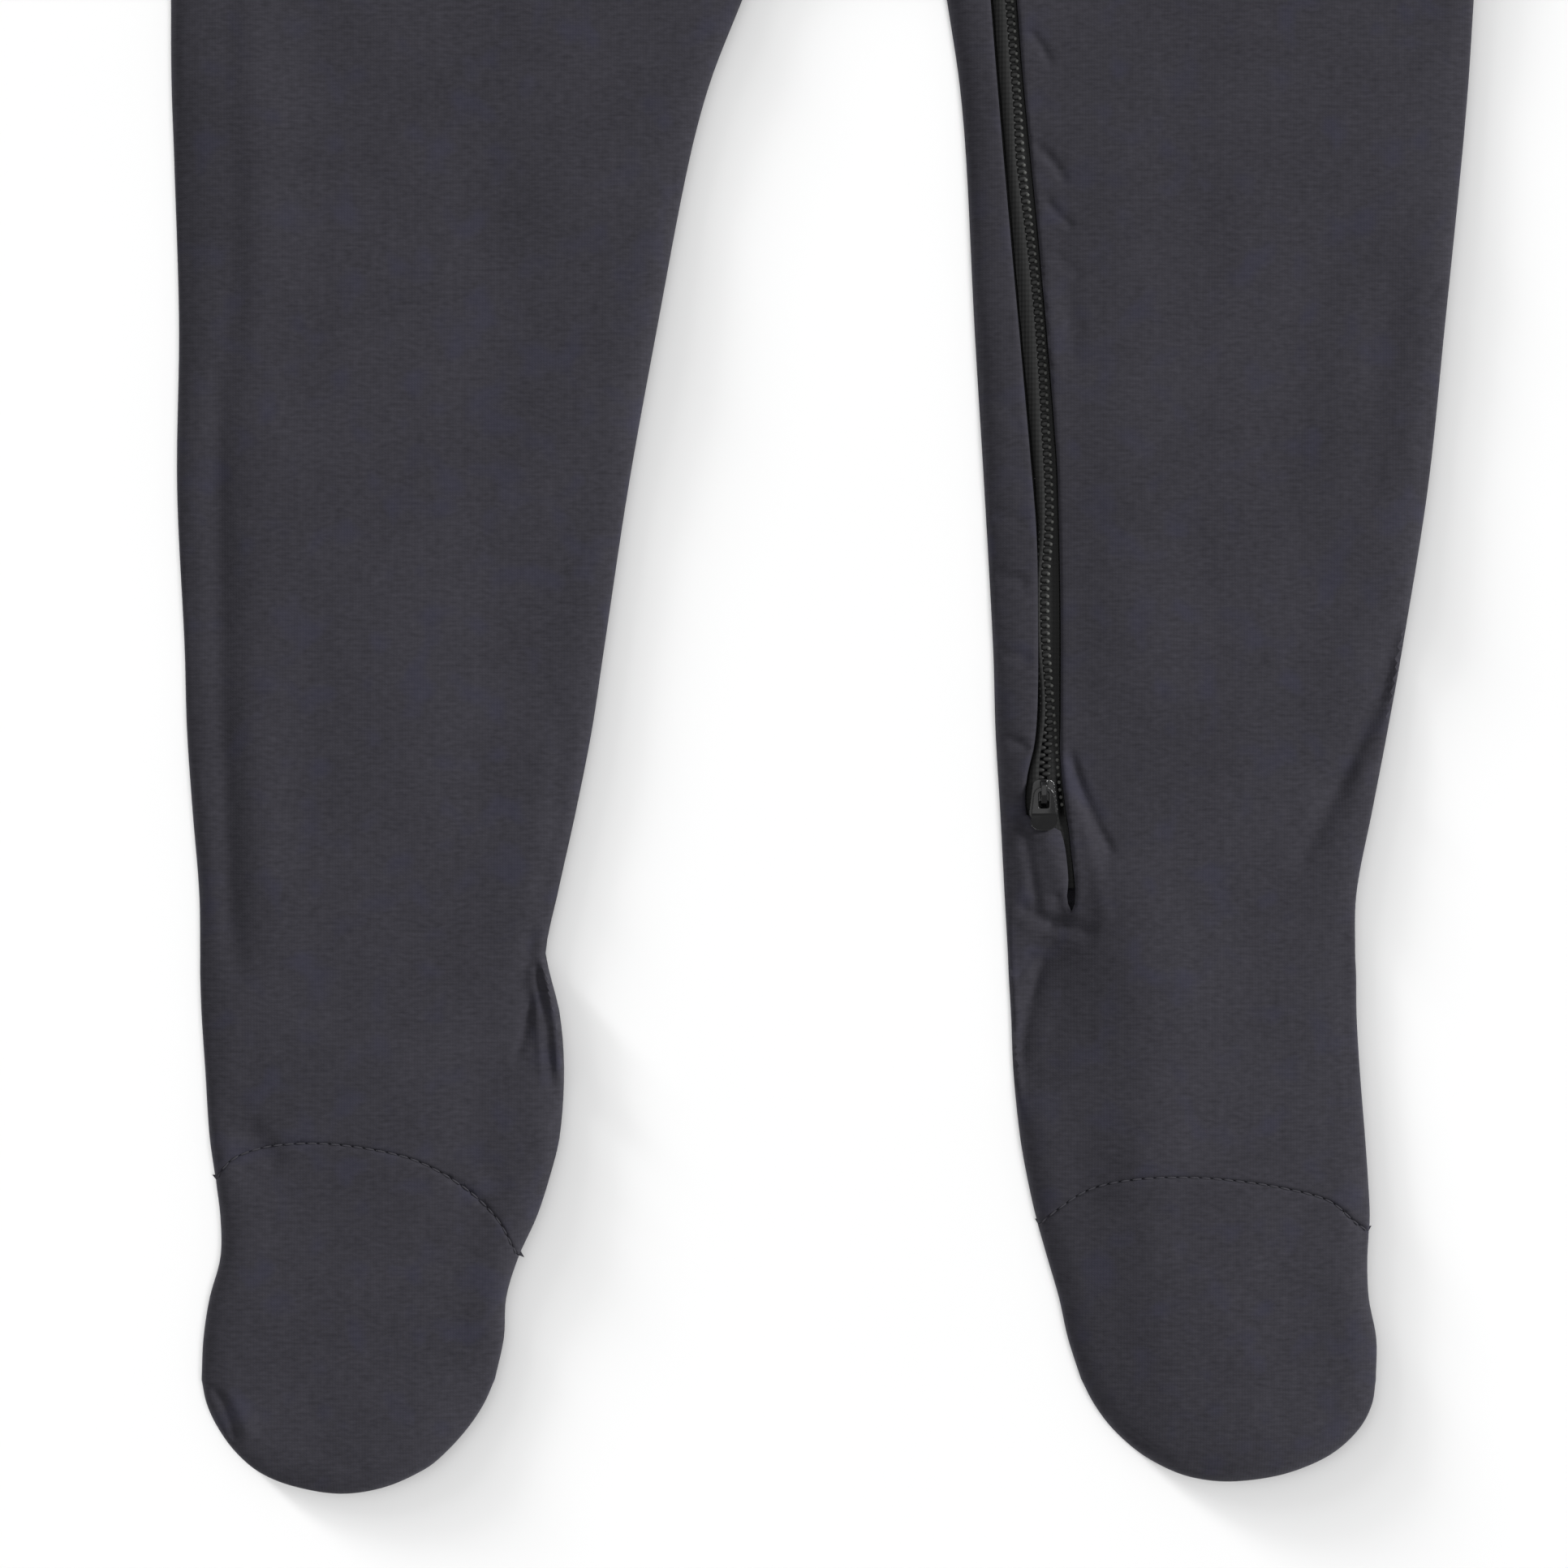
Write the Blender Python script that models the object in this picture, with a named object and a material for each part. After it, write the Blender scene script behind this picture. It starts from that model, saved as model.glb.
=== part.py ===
"""A zip-up footed sleeper for a toddler, laid flat on its back.

Worn sides are meant: the right leg lies towards -X, the left leg towards +X, +Y runs to the neck and
+Z up from the surface that the garment lies on.  Two layers of jersey lie on each other: a back and two
soles flat on the surface, and a front and two foot tops over them, with sleeves and cuffs as flattened
tubes.  A coil zip runs from the neck down the inner side of the left leg to the ankle.

All sizes are in millimetres until a mesh is made.  Plan points are (across, up): across is measured
from the line through the neck, up from the tip of the right toe.
"""
import math

import bmesh
import bpy
import numpy as np
from mathutils import Matrix, Vector
from mathutils.geometry import delaunay_2d_cdt

MM = 0.001

# ---------------------------------------------------------------- driving sizes
WALL = 1.2                # jersey wall
SEAM_GAP = 0.3            # between pieces that are sewn together
RIM = WALL + SEAM_GAP     # where the upper layer's folded-down edge ends
EDGE_ROUND = 7.0          # how far in from a side seam the upper layer curves down
BODY_RISE = 3.4           # from the rim to the top of the cloth on body and legs
FOOT_RISE = 4.1           # the same over the feet
FOOT_FULL_UP = 70.0       # below this height the foot's rise is reached
FOOT_BLEND = 40.0
CROWN = 0.7               # slow swell towards the middle of a panel
CROWN_REACH = 45.0
UNDER_EDGE = 0.4          # rounding under the lower layer's edge

CROTCH_UP = 338.0
CROTCH_X = 2.2
CROTCH_ARC_BASE = {"right": 292.0, "left": 310.0}   # centre heights of the crotch's half ovals
CROTCH_ARC_START = 317.4
ARMPIT = (134.0, 584.0)
SHOULDER_TIP = (112.0, 712.0)
NECK_SIDE = (66.0, 738.0)
NECK_FRONT_UP = 700.0
NECK_BACK_UP = 728.0
NECKBAND_HEIGHT = 14.0
NECK_FOLD_LEAN = (-0.6, 0.8)
BAND_TURN = 26.0          # how far from its fold the band's lean eases upright
BAND_HALF_RUN = 75.0      # about half the neckline's length
BAND_ROWS = (0.0, 0.3, 0.65, 1.0)

SLEEVE_DROP_DEG = 38.0    # how far below level the sleeve lies
SLEEVE_TOP_LENGTH = 205.0
SLEEVE_GAP = 0.5          # between the sleeve and the body along the armhole
WRIST_WIDTH = 70.0
CUFF_WIDTH = 63.0
CUFF_LENGTH = 36.0

HEEL_SEAM_UP = 118.0      # top of the sole's round heel
HEEL_CORNER_UP = 72.0     # where the heel seam meets the side seams
HEEL_BOW = 2.3            # power of the heel seam's round
FOOT_RINGS = (0.28, 0.54, 0.78, 1.0)

ZIP_END_UP = 123.8
ZIP_END_X = 50.9
TAPE_HALF = 7.5
TAPE_THICKNESS = 1.0
TAPE_DEPTH = 0.2          # extra depth under the front's facets
TAPE_ROW = 12.0
TAPE_FROM_SEAM = 4.6      # the tape keeps this far from the inner leg seam
TAPE_TOP_MARGIN = 1.0     # the tape stops this far under the neckband's upper edge
COIL_WIDTH = 3.4
COIL_HEIGHT = 1.1
COIL_LIFT = 0.4
COIL_ROW = 16.0
COIL_PROFILE = ((-0.5, 0.0), (-0.5, 0.45), (-0.28, 1.0), (0.28, 1.0), (0.5, 0.45), (0.5, 0.0))
PART_START = 7.0          # the tapes lie parted for the slider's post within this distance
PART_EASE = 14.0          # and come together over this one

SLIDER_X = 44.2
SLIDER_UP = 147.6
SLIDER_LENGTH = 8.6
SLIDER_MOUTH_WIDTH = 6.2  # its open end, which points down
SLIDER_TAIL_WIDTH = 4.8   # its end towards the closed coil
SLIDER_PLATE = 0.8
PLATE_CORNER = 1.4
SLIDER_POST = (1.1, 2.6)
POST_CORNER = 0.4
SLIDER_CLEAR = 0.35       # between a plate and what runs through
BRIDGE_WIDTH = 1.3
BRIDGE_LENGTH = 5.6
BRIDGE_SETBACK = 0.4      # from the slider's narrow end
BRIDGE_WALL = 0.75
BRIDGE_FOOT = 1.35
BRIDGE_SLOPE = 2.5
BRIDGE_CHAMFER = 0.9
HOLE_CHAMFER = 0.3
PIN_SPACE = 1.05          # radius that the pull's bar needs to turn
SINK = 0.3                # how far shapes that are joined reach into each other

PULL_LENGTH = 9.2
PULL_WIDTH = 5.6
PULL_BAR_END_WIDTH = 4.4
PULL_CORNER = 1.9
PULL_THICKNESS = 1.0
PULL_BAR = 1.1
PULL_WINDOW = (2.2, 3.4)
WINDOW_CORNER = 0.3

# ---------------------------------------------------------------- tables
# Edges of both legs at each height.
LEG_COLUMNS = ("up", "right_outer", "right_inner", "left_inner", "left_outer")
LEGS = (
    (24.3, -134.5, -72.2, 52.5, 115.1),
    (33.0, -134.1, -70.3, 49.7, 115.2),
    (41.6, -132.8, -69.8, 47.8, 113.6),
    (50.2, -130.5, -67.2, 45.3, 113.3),
    (58.8, -130.5, -63.3, 42.9, 113.8),
    (67.4, -131.6, -60.5, 41.0, 113.4),
    (76.0, -132.8, -58.4, 39.5, 112.8),
    (89.8, -133.7, -57.5, 38.1, 111.7),
    (101.9, -134.5, -58.4, 37.6, 111.0),
    (110.5, -134.8, -60.5, 37.1, 110.9),
    (115.3, -134.8, -61.4, 36.9, 110.7),
    (127.8, -135.0, -58.8, 36.2, 111.0),
    (145.0, -136.4, -55.0, 35.3, 114.3),
    (162.2, -137.6, -51.6, 34.3, 117.6),
    (179.5, -138.1, -49.0, 33.8, 120.7),
    (214.0, -139.7, -43.8, 31.9, 126.2),
    (248.4, -139.3, -37.6, 29.8, 129.8),
    (282.9, -140.3, -31.0, 28.1, 133.3),
    (300.2, -140.9, -26.4, 26.6, 134.8),
    (317.4, -141.0, -19.7, 24.0, 135.9),
)

# Side seams of the body above the legs.
SIDE_COLUMNS = ("up", "right_outer", "left_outer")
TORSO = (
    (360.0, -141.0, 138.6),
    (420.0, -137.5, 137.2),
    (480.0, -134.0, 134.0),
    (540.0, -132.6, 132.6),
    (584.0, -134.0, 134.0),
)

# Where the foot top is sewn to the front, from the wearer's right edge of the foot to its left edge.
VAMP_COLUMNS = ("across", "right_foot_up", "left_foot_up")
VAMP = (
    (0.00, 66.5, 57.2),
    (0.06, 71.2, 60.4),
    (0.17, 74.0, 65.0),
    (0.30, 74.8, 67.3),
    (0.45, 73.8, 67.8),
    (0.60, 71.2, 67.0),
    (0.75, 65.6, 65.2),
    (0.88, 58.8, 62.4),
    (0.95, 54.0, 58.0),
    (1.00, 50.5, 55.7),
)

# The opening in the front that shows the zip.
SLIT_COLUMNS = ("up", "right_edge", "left_edge")
SLIT = (
    (123.8, 50.9, 50.9),
    (130.0, 49.5, 50.8),
    (136.0, 48.7, 50.3),
    (139.8, 46.6, 49.8),
    (143.0, 41.2, 49.4),
    (147.0, 40.1, 48.9),
    (152.6, 40.6, 48.3),
    (158.8, 42.2, 47.9),
    (168.0, 43.0, 47.9),
    (186.4, 43.1, 47.9),
    (203.6, 42.8, 47.6),
    (220.9, 41.4, 47.0),
    (265.7, 37.4, 43.3),
    (300.2, 34.4, 40.0),
    (317.4, 33.0, 38.6),
    (510.0, 16.0, 21.6),
    (716.0, -2.2, 3.4),
)

# Rounded toes, from the wearer's right end of each round to its left end.
TOE_COLUMNS = ("across", "up")
TOES = {
    "right": (
        (-134.5, 24.3), (-133.4, 19.1), (-131.0, 14.0), (-127.2, 8.8), (-122.1, 4.5), (-115.0, 1.6),
        (-105.0, 0.0), (-95.6, 1.4), (-86.9, 5.3), (-82.6, 8.8), (-77.9, 14.0), (-74.5, 19.1),
        (-72.2, 24.3),
    ),
    "left": (
        (52.5, 24.3), (55.2, 19.1), (59.0, 14.0), (64.8, 8.8), (70.9, 5.3), (76.4, 3.4), (83.5, 2.6),
        (92.0, 3.4), (99.1, 5.3), (106.2, 8.8), (111.7, 14.0), (114.3, 19.1), (115.1, 24.3),
    ),
}

# The largest folds, as soft troughs (negative) and ridges, on the shown and the hidden parts.
FOLD_COLUMNS = ("x0", "up0", "x1", "up1", "rise", "half_width")
FOLDS = (
    (120.5, 184.0, 103.0, 146.0, -0.9, 5.0),
    (50.5, 160.0, 59.0, 135.0, -0.7, 5.0),
    (44.5, 116.0, 38.0, 92.0, -0.8, 4.5),
    (44.7, 164.0, 45.5, 130.0, 0.6, 9.0),
    (-132.0, 226.0, -127.0, 112.0, -0.8, 6.0),
    (-58.0, 130.0, -67.0, 92.0, -1.2, 5.0),
    (-131.0, 84.0, -122.0, 66.0, -0.9, 6.0),
    (66.0, 262.0, 112.0, 236.0, -0.4, 12.0),
    (-118.0, 300.0, -70.0, 322.0, -0.5, 11.0),
    (-20.0, 338.0, -66.0, 372.0, -0.8, 9.0),
    (26.0, 342.0, 78.0, 366.0, -0.7, 10.0),
    (-128.0, 470.0, -70.0, 448.0, -0.8, 11.0),
    (124.0, 500.0, 60.0, 470.0, -0.7, 12.0),
    (-40.0, 420.0, 30.0, 404.0, 0.4, 14.0),
    (-126.0, 578.0, -84.0, 610.0, -0.9, 8.0),
    (126.0, 580.0, 90.0, 618.0, -0.9, 8.0),
    (-60.0, 560.0, -30.0, 470.0, 0.4, 14.0),
    (70.0, 640.0, 62.0, 540.0, 0.4, 13.0),
    (-168.0, 596.0, -196.0, 646.0, -0.8, 8.0),
    (166.0, 594.0, 200.0, 640.0, -0.8, 8.0),
    (-208.0, 566.0, -232.0, 586.0, -0.7, 6.0),
    (210.0, 560.0, 228.0, 588.0, -0.7, 6.0),
)

PIECE_COLOURS = {
    "jersey": ((0.046, 0.043, 0.056, 1.0), 0.9, 0.0),
    "tape": ((0.022, 0.023, 0.022, 1.0), 0.85, 0.0),
    "nylon": ((0.030, 0.031, 0.030, 1.0), 0.45, 0.0),
    "metal": ((0.055, 0.055, 0.058, 1.0), 0.35, 0.6),
}

# Distances in from a folded edge at which a section has points.
EDGE_STEPS = (0.0, 0.35, 1.4, 3.2, EDGE_ROUND)
ON_EDGE = 0.05            # a point this near a folded edge lies on it

# Fineness of the curves and grids.
FINE = 60                 # points read from a smooth curve
FINE_STEP = 1.5
SIDE_STEP = 9.0           # between the points along a foot's side
BACK_STEP = 13.0          # between the points along the back's seams
TOE_POINTS = 17
LEG_WIDTH = 100.0         # usual widths, by which close steps are shared out
PANEL_WIDTH = 72.0
HALF_BODY = 130.0
ARMHOLE_RUN = 130.0


# ---------------------------------------------------------------- curves
def mix(a, b, share):
    return a + (b - a) * share


def smooth_step(value):
    value = np.clip(value, 0.0, 1.0)
    return value * value * (3.0 - 2.0 * value)


def along(table, names, name, at):
    """Smooth reading of one column of a table at a value of its first column."""
    keys = [row[0] for row in table]
    values = [row[names.index(name)] for row in table]
    at = min(max(at, keys[0]), keys[-1])
    last = len(keys) - 1
    here = next(i for i in range(last) if at <= keys[i + 1])

    def slope(i):
        low, high = max(i - 1, 0), min(i + 1, last)
        return (values[high] - values[low]) / (keys[high] - keys[low])

    span = keys[here + 1] - keys[here]
    s = (at - keys[here]) / span
    value = (2 * s**3 - 3 * s**2 + 1) * values[here] + (s**3 - 2 * s**2 + s) * span * slope(here)
    return value + (3 * s**2 - 2 * s**3) * values[here + 1] + (s**3 - s**2) * span * slope(here + 1)


def bezier(controls, share):
    a, b, c, d = (np.array(point, float) for point in controls)
    rest = 1.0 - share
    return rest**3 * a + 3 * rest**2 * share * b + 3 * rest * share**2 * c + share**3 * d


def resample(points, shares):
    """Points at the given shares of a polyline's length."""
    points = np.array(points, float)
    steps = np.concatenate([[0.0], np.cumsum(np.linalg.norm(np.diff(points, axis=0), axis=1))])
    steps /= steps[-1]
    return np.column_stack([np.interp(shares, steps, points[:, axis]) for axis in (0, 1)])


def mirrored(points):
    return [(-x, up) for x, up in points]


# ---------------------------------------------------------------- outline of the garment
SIDES = tuple((row[0], row[1], row[4]) for row in LEGS) + TORSO


def outer_edge(side, up):
    return along(SIDES, SIDE_COLUMNS, side + "_outer", up)


def inner_edge(side, up):
    """Inner leg seam, which the crotch oval rounds off."""
    name = side + "_inner"
    if up <= CROTCH_ARC_START:
        return along(LEGS, LEG_COLUMNS, name, up)

    base = CROTCH_ARC_BASE[side]

    def oval(height):
        share = (height - base) / (CROTCH_UP - base)
        return math.sqrt(max(0.0, 1.0 - share * share))

    start = along(LEGS, LEG_COLUMNS, name, CROTCH_ARC_START) - CROTCH_X
    return CROTCH_X + start * oval(up) / oval(CROTCH_ARC_START)


def edge(side, part, up):
    return outer_edge(side, up) if part == "outer" else inner_edge(side, up)


def crotch_heights(count):
    """Heights that are even in angle round the crotch oval, up to its top."""
    base = CROTCH_ARC_BASE["right"]
    first = math.asin((CROTCH_ARC_START - base) / (CROTCH_UP - base))
    angles = np.linspace(first, math.pi / 2, count)
    return [base + (CROTCH_UP - base) * math.sin(angle) for angle in angles]


def toe_round(side, count):
    """Even points on the round toe, from the wearer's right end of the round to its left end."""
    points = np.array(TOES[side])
    steps = np.linalg.norm(np.diff(points, axis=0), axis=1)
    run = np.concatenate([[0.0], np.cumsum(steps)]) / steps.sum()
    table = [(share, x, up) for share, (x, up) in zip(run, points)]
    names = ("share", *TOE_COLUMNS)
    shares = np.linspace(0.0, 1.0, count)
    return [tuple(along(table, names, name, share) for name in TOE_COLUMNS) for share in shares]


def toe_base(side):
    """Height at which the toe's round starts."""
    return TOES[side][0][1]


def edge_run(side, part, start, end, step):
    """Points on an edge between two heights, both included."""
    count = max(2, int(abs(end - start) / step) + 1)
    return [(edge(side, part, up), up) for up in np.linspace(start, end, count)]


def armhole(count):
    """Left armhole, from the armpit to the shoulder tip."""
    controls = (ARMPIT, (119.0, 614.0), (103.0, 664.0), SHOULDER_TIP)
    return [tuple(bezier(controls, share)) for share in np.linspace(0.0, 1.0, count)]


def armhole_shares():
    """Places along the armhole seam, which front, back and sleeve share."""
    return edge_shares(ARMHOLE_RUN, 8)


def front_neckline(count):
    """Left half of the front neckline, from the side of the neck to the middle."""
    controls = (NECK_SIDE, (55.0, 716.0), (34.0, NECK_FRONT_UP), (0.0, NECK_FRONT_UP))
    return [tuple(bezier(controls, share)) for share in np.linspace(0.0, 1.0, count)]


def back_neckline(count):
    """Left half of the back neckline, from the side of the neck to the middle."""
    controls = (NECK_SIDE, (52.0, 731.5), (28.0, NECK_BACK_UP), (0.0, NECK_BACK_UP))
    return [tuple(bezier(controls, share)) for share in np.linspace(0.0, 1.0, count)]


def sleeve_corners():
    """Wrist corners of the left sleeve, and the directions along and across it."""
    drop = math.radians(SLEEVE_DROP_DEG)
    down = np.array([math.cos(drop), -math.sin(drop)])
    across = np.array([-math.sin(drop), -math.cos(drop)])
    top = np.array(SHOULDER_TIP) + down * SLEEVE_TOP_LENGTH
    return top, top + across * WRIST_WIDTH, down, across


def sleeve_top(count):
    top = sleeve_corners()[0]
    start = np.array(SHOULDER_TIP)
    bulge = np.array([6.0, 9.0])
    controls = (start, mix(start, top, 0.3) + bulge, mix(start, top, 0.7) + bulge * 0.4, top)
    return [tuple(bezier(controls, share)) for share in np.linspace(0.0, 1.0, count)]


def sleeve_under(count):
    low = sleeve_corners()[1]
    start = np.array(ARMPIT)
    dip = np.array([5.0, 8.0])
    controls = (start, mix(start, low, 0.3) + dip, mix(start, low, 0.7) + dip * 0.3, low)
    return [tuple(bezier(controls, share)) for share in np.linspace(0.0, 1.0, count)]


def cuff_corners():
    """Four corners of the left cuff: upper and lower at the wrist, upper and lower at the end."""
    top, _, down, across = sleeve_corners()
    inset = (WRIST_WIDTH - CUFF_WIDTH) / 2
    near_top = top + across * inset + down * SEAM_GAP
    near_low = near_top + across * CUFF_WIDTH
    return near_top, near_low, near_top + down * CUFF_LENGTH, near_low + down * CUFF_LENGTH


def neck_fold():
    """Left fold of the neckband, from the neckline to its upper edge."""
    start = np.array(NECK_SIDE)
    end = start + np.array(NECK_FOLD_LEAN) * NECKBAND_HEIGHT
    return [tuple(start), tuple(end)]


def folded_edges():
    """Every line along which the upper layer turns down to the lower one."""
    runs = []
    for side in ("right", "left"):
        base = toe_base(side)
        runs.append(edge_run(side, "outer", base, ARMPIT[1], FINE_STEP))
        arc = [(inner_edge(side, up), up) for up in crotch_heights(FINE)]
        runs.append(edge_run(side, "inner", base, CROTCH_ARC_START, FINE_STEP) + arc)
        runs.append(toe_round(side, FINE))
    near_top, near_low, far_top, far_low = cuff_corners()
    halves = [
        sleeve_top(FINE),
        sleeve_under(FINE),
        [tuple(near_top), tuple(far_top)],
        [tuple(near_low), tuple(far_low)],
        [SHOULDER_TIP, NECK_SIDE],
        neck_fold(),
    ]
    for half in halves:
        runs.append(half)
        runs.append(mirrored(half))
    return runs


def segments_of(runs):
    starts = np.concatenate([np.array(run[:-1], float) for run in runs])
    ends = np.concatenate([np.array(run[1:], float) for run in runs])
    return starts, ends


EDGE_STARTS, EDGE_ENDS = segments_of(folded_edges())


def edge_distance(points):
    """Distance of each plan point from the nearest folded edge."""
    points = np.asarray(points, float)
    span = EDGE_ENDS - EDGE_STARTS
    length2 = np.maximum((span**2).sum(axis=1), 1e-12)
    found = []
    for block in np.array_split(points, max(1, len(points) // 400 + 1)):
        if not len(block):
            continue
        away = block[:, None, :] - EDGE_STARTS[None, :, :]
        share = np.clip((away * span).sum(axis=2) / length2, 0.0, 1.0)
        gap = away - share[..., None] * span
        found.append(np.sqrt((gap**2).sum(axis=2)).min(axis=1))
    distance = np.concatenate(found)
    return np.where(distance < ON_EDGE, 0.0, distance)


# ---------------------------------------------------------------- height of the cloth
def fold_rise(points):
    """Sum of the folds' troughs and ridges, which fade out at both ends, at each plan point."""
    points = np.asarray(points, float)
    fade_share = 0.3
    total = np.zeros(len(points))
    for x0, up0, x1, up1, rise, half_width in FOLDS:
        start, span = np.array([x0, up0]), np.array([x1 - x0, up1 - up0])
        share = ((points - start) @ span) / (span @ span)
        side = points - start - np.clip(share, 0.0, 1.0)[:, None] * span
        across = np.sqrt((side**2).sum(axis=1)) / half_width
        fade = smooth_step(share / fade_share + 0.5) * smooth_step((1.0 - share) / fade_share + 0.5)
        total += rise * np.exp(-across**2) * fade
    return total


def quarter_round(share):
    return np.sqrt(np.clip(1.0 - (1.0 - np.clip(share, 0.0, 1.0)) ** 2, 0.0, 1.0))


def cloth_height(points):
    """Height of the upper layer's outer face over the surface."""
    points = np.asarray(points, float)
    distance = edge_distance(points)
    foot = smooth_step((FOOT_FULL_UP + FOOT_BLEND - points[:, 1]) / FOOT_BLEND)
    rise = mix(BODY_RISE, FOOT_RISE, foot) + CROWN * smooth_step(distance / CROWN_REACH)
    inside = smooth_step(distance / EDGE_ROUND)
    return RIM + rise * quarter_round(distance / EDGE_ROUND) + fold_rise(points) * inside


def tube_underside(points):
    """Outer face of the lower half of a flattened tube, round at its folded edges."""
    distance = edge_distance(points)
    return RIM - RIM * quarter_round(distance / RIM)


# ---------------------------------------------------------------- plan grids
def coons(bottom, top, left, right):
    """Grid of plan points that four edge curves span; rows run from bottom to top."""
    bottom, top, left, right = (np.array(curve, float) for curve in (bottom, top, left, right))

    def shares(curve):
        steps = np.concatenate([[0.0], np.cumsum(np.linalg.norm(np.diff(curve, axis=0), axis=1))])
        return steps / steps[-1]

    t = ((shares(bottom) + shares(top)) / 2)[None, :, None]
    s = ((shares(left) + shares(right)) / 2)[:, None, None]
    ruled = (1 - s) * bottom[None] + s * top[None] + (1 - t) * left[:, None] + t * right[:, None]
    corners = (1 - s) * ((1 - t) * bottom[0] + t * bottom[-1]) + s * ((1 - t) * top[0] + t * top[-1])
    return ruled - corners


def edge_shares(width, inner_count, first=True, last=True):
    """Shares of a width with close steps by its folded edges and even ones between."""
    steps = [step / width for step in EDGE_STEPS]
    low = steps if first else [0.0]
    high = [1.0 - step for step in reversed(steps)] if last else [1.0]
    middle = np.linspace(low[-1], high[0], inner_count + 1)[1:-1]
    return np.array(low + list(middle) + high)


def vamp_up(side, share):
    return along(VAMP, VAMP_COLUMNS, side + "_foot_up", share)


def heel_up(side, share):
    """The sole's round heel seam; both sides have the same one."""
    bow = 1.0 - abs(2.0 * share - 1.0) ** HEEL_BOW
    return HEEL_CORNER_UP + (HEEL_SEAM_UP - HEEL_CORNER_UP) * bow


def seam_across_leg(side, up_of, shares, shift):
    """A seam from edge to edge of a leg, moved square to its line by a shift (up is positive)."""
    first, second = ("outer", "inner") if side == "right" else ("inner", "outer")

    nudge = 0.004

    def point(share):
        up = up_of(side, share)
        return np.array((mix(edge(side, first, up), edge(side, second, up), share), up))

    line = []
    for share in shares:
        before, after = point(max(share - nudge, 0.0)), point(min(share + nudge, 1.0))
        ahead = (after - before) / np.linalg.norm(after - before)
        if 0.0 < share < 1.0:
            line.append(point(share) + np.array((-ahead[1], ahead[0])) * shift)
            continue
        up = up_of(side, share) + shift / max(0.3, ahead[0])
        line.append(np.array((edge(side, first if share == 0.0 else second, up), up)))
    return line


def leg_grid(side, heights, shares, reach=60.0):
    """Rows across a leg; the lowest follows the foot-top seam and the next ones ease out of it."""
    first, second = ("outer", "inner") if side == "right" else ("inner", "outer")
    grid = [seam_across_leg(side, vamp_up, shares, SEAM_GAP / 2)]
    for height in heights[1:]:
        ease = float(smooth_step(1.0 - (height - heights[0]) / reach))
        row = []
        for share in shares:
            up = height + (vamp_up(side, share) - heights[0]) * ease
            row.append((mix(edge(side, first, up), edge(side, second, up), share), up))
        grid.append(row)
    return np.array(grid)


def slit_edge(name, up):
    return along(SLIT, SLIT_COLUMNS, name + "_edge", up)


# ---------------------------------------------------------------- solids
def signed_area(points):
    """Area inside a plan outline, positive where it runs anticlockwise."""
    ahead = np.roll(points, -1, axis=0)
    return (points[:, 0] * ahead[:, 1] - ahead[:, 0] * points[:, 1]).sum() / 2


def plan_sheet(grids, height_of, facing_up=True):
    """One welded surface over plan grids: its points, their outward normals and its faces."""
    index, points, faces = {}, [], []

    def number(point):
        key = (round(point[0], 3), round(point[1], 3))
        if key not in index:
            index[key] = len(points)
            points.append(point)
        return index[key]

    for grid in grids:
        for low, high in zip(grid[:-1], grid[1:]):
            for j in range(len(low) - 1):
                corners = [number(p) for p in (low[j], low[j + 1], high[j + 1], high[j])]
                corners = [c for k, c in enumerate(corners) if c != corners[k - 1]]
                if len(corners) > 2:
                    faces.append(corners)
    plan = np.array(points, float)
    if (sum(signed_area(plan[face]) for face in faces) > 0.0) != facing_up:
        faces = [face[::-1] for face in faces]
    nudge = 0.06
    slope_x = (height_of(plan + (nudge, 0.0)) - height_of(plan - (nudge, 0.0))) / (2 * nudge)
    slope_y = (height_of(plan + (0.0, nudge)) - height_of(plan - (0.0, nudge))) / (2 * nudge)
    normals = np.column_stack([-slope_x, -slope_y, np.ones(len(plan))])
    normals /= np.linalg.norm(normals, axis=1)[:, None]
    normals[edge_distance(plan) < nudge] = 0.0
    return np.column_stack([plan, height_of(plan)]), normals * (1 if facing_up else -1), faces


def thick_solid(name, sheets, wall=WALL):
    """Closed wall whose outer face is the sheets, joined where they share an edge."""
    mesh = bmesh.new()
    verts, normals = {}, []
    for points, directions, faces in sheets:
        numbers = []
        for point, direction in zip(points, directions):
            key = tuple(round(value, 3) for value in point)
            if key not in verts:
                verts[key] = mesh.verts.new(point)
                normals.append(Vector(direction))
            numbers.append(verts[key])
        for face in faces:
            mesh.faces.new([numbers[i] for i in face])
    mesh.normal_update()
    mesh.verts.index_update()
    outer = list(mesh.verts)
    inner = []
    for vert, normal in zip(outer, normals):
        if normal.length < 0.5:
            normal = Vector((vert.normal.x, vert.normal.y, 0.0)).normalized()
        inner.append(mesh.verts.new(vert.co - normal * wall))
    rims = [edge.link_loops[0] for edge in mesh.edges if edge.is_boundary]
    rims = [(loop.vert.index, loop.link_loop_next.vert.index) for loop in rims]
    for face in list(mesh.faces):
        mesh.faces.new([inner[vert.index] for vert in reversed(face.verts)])
    for a, b in rims:
        mesh.faces.new([outer[b], outer[a], inner[a], inner[b]])
    return solid_object(name, mesh)


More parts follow.
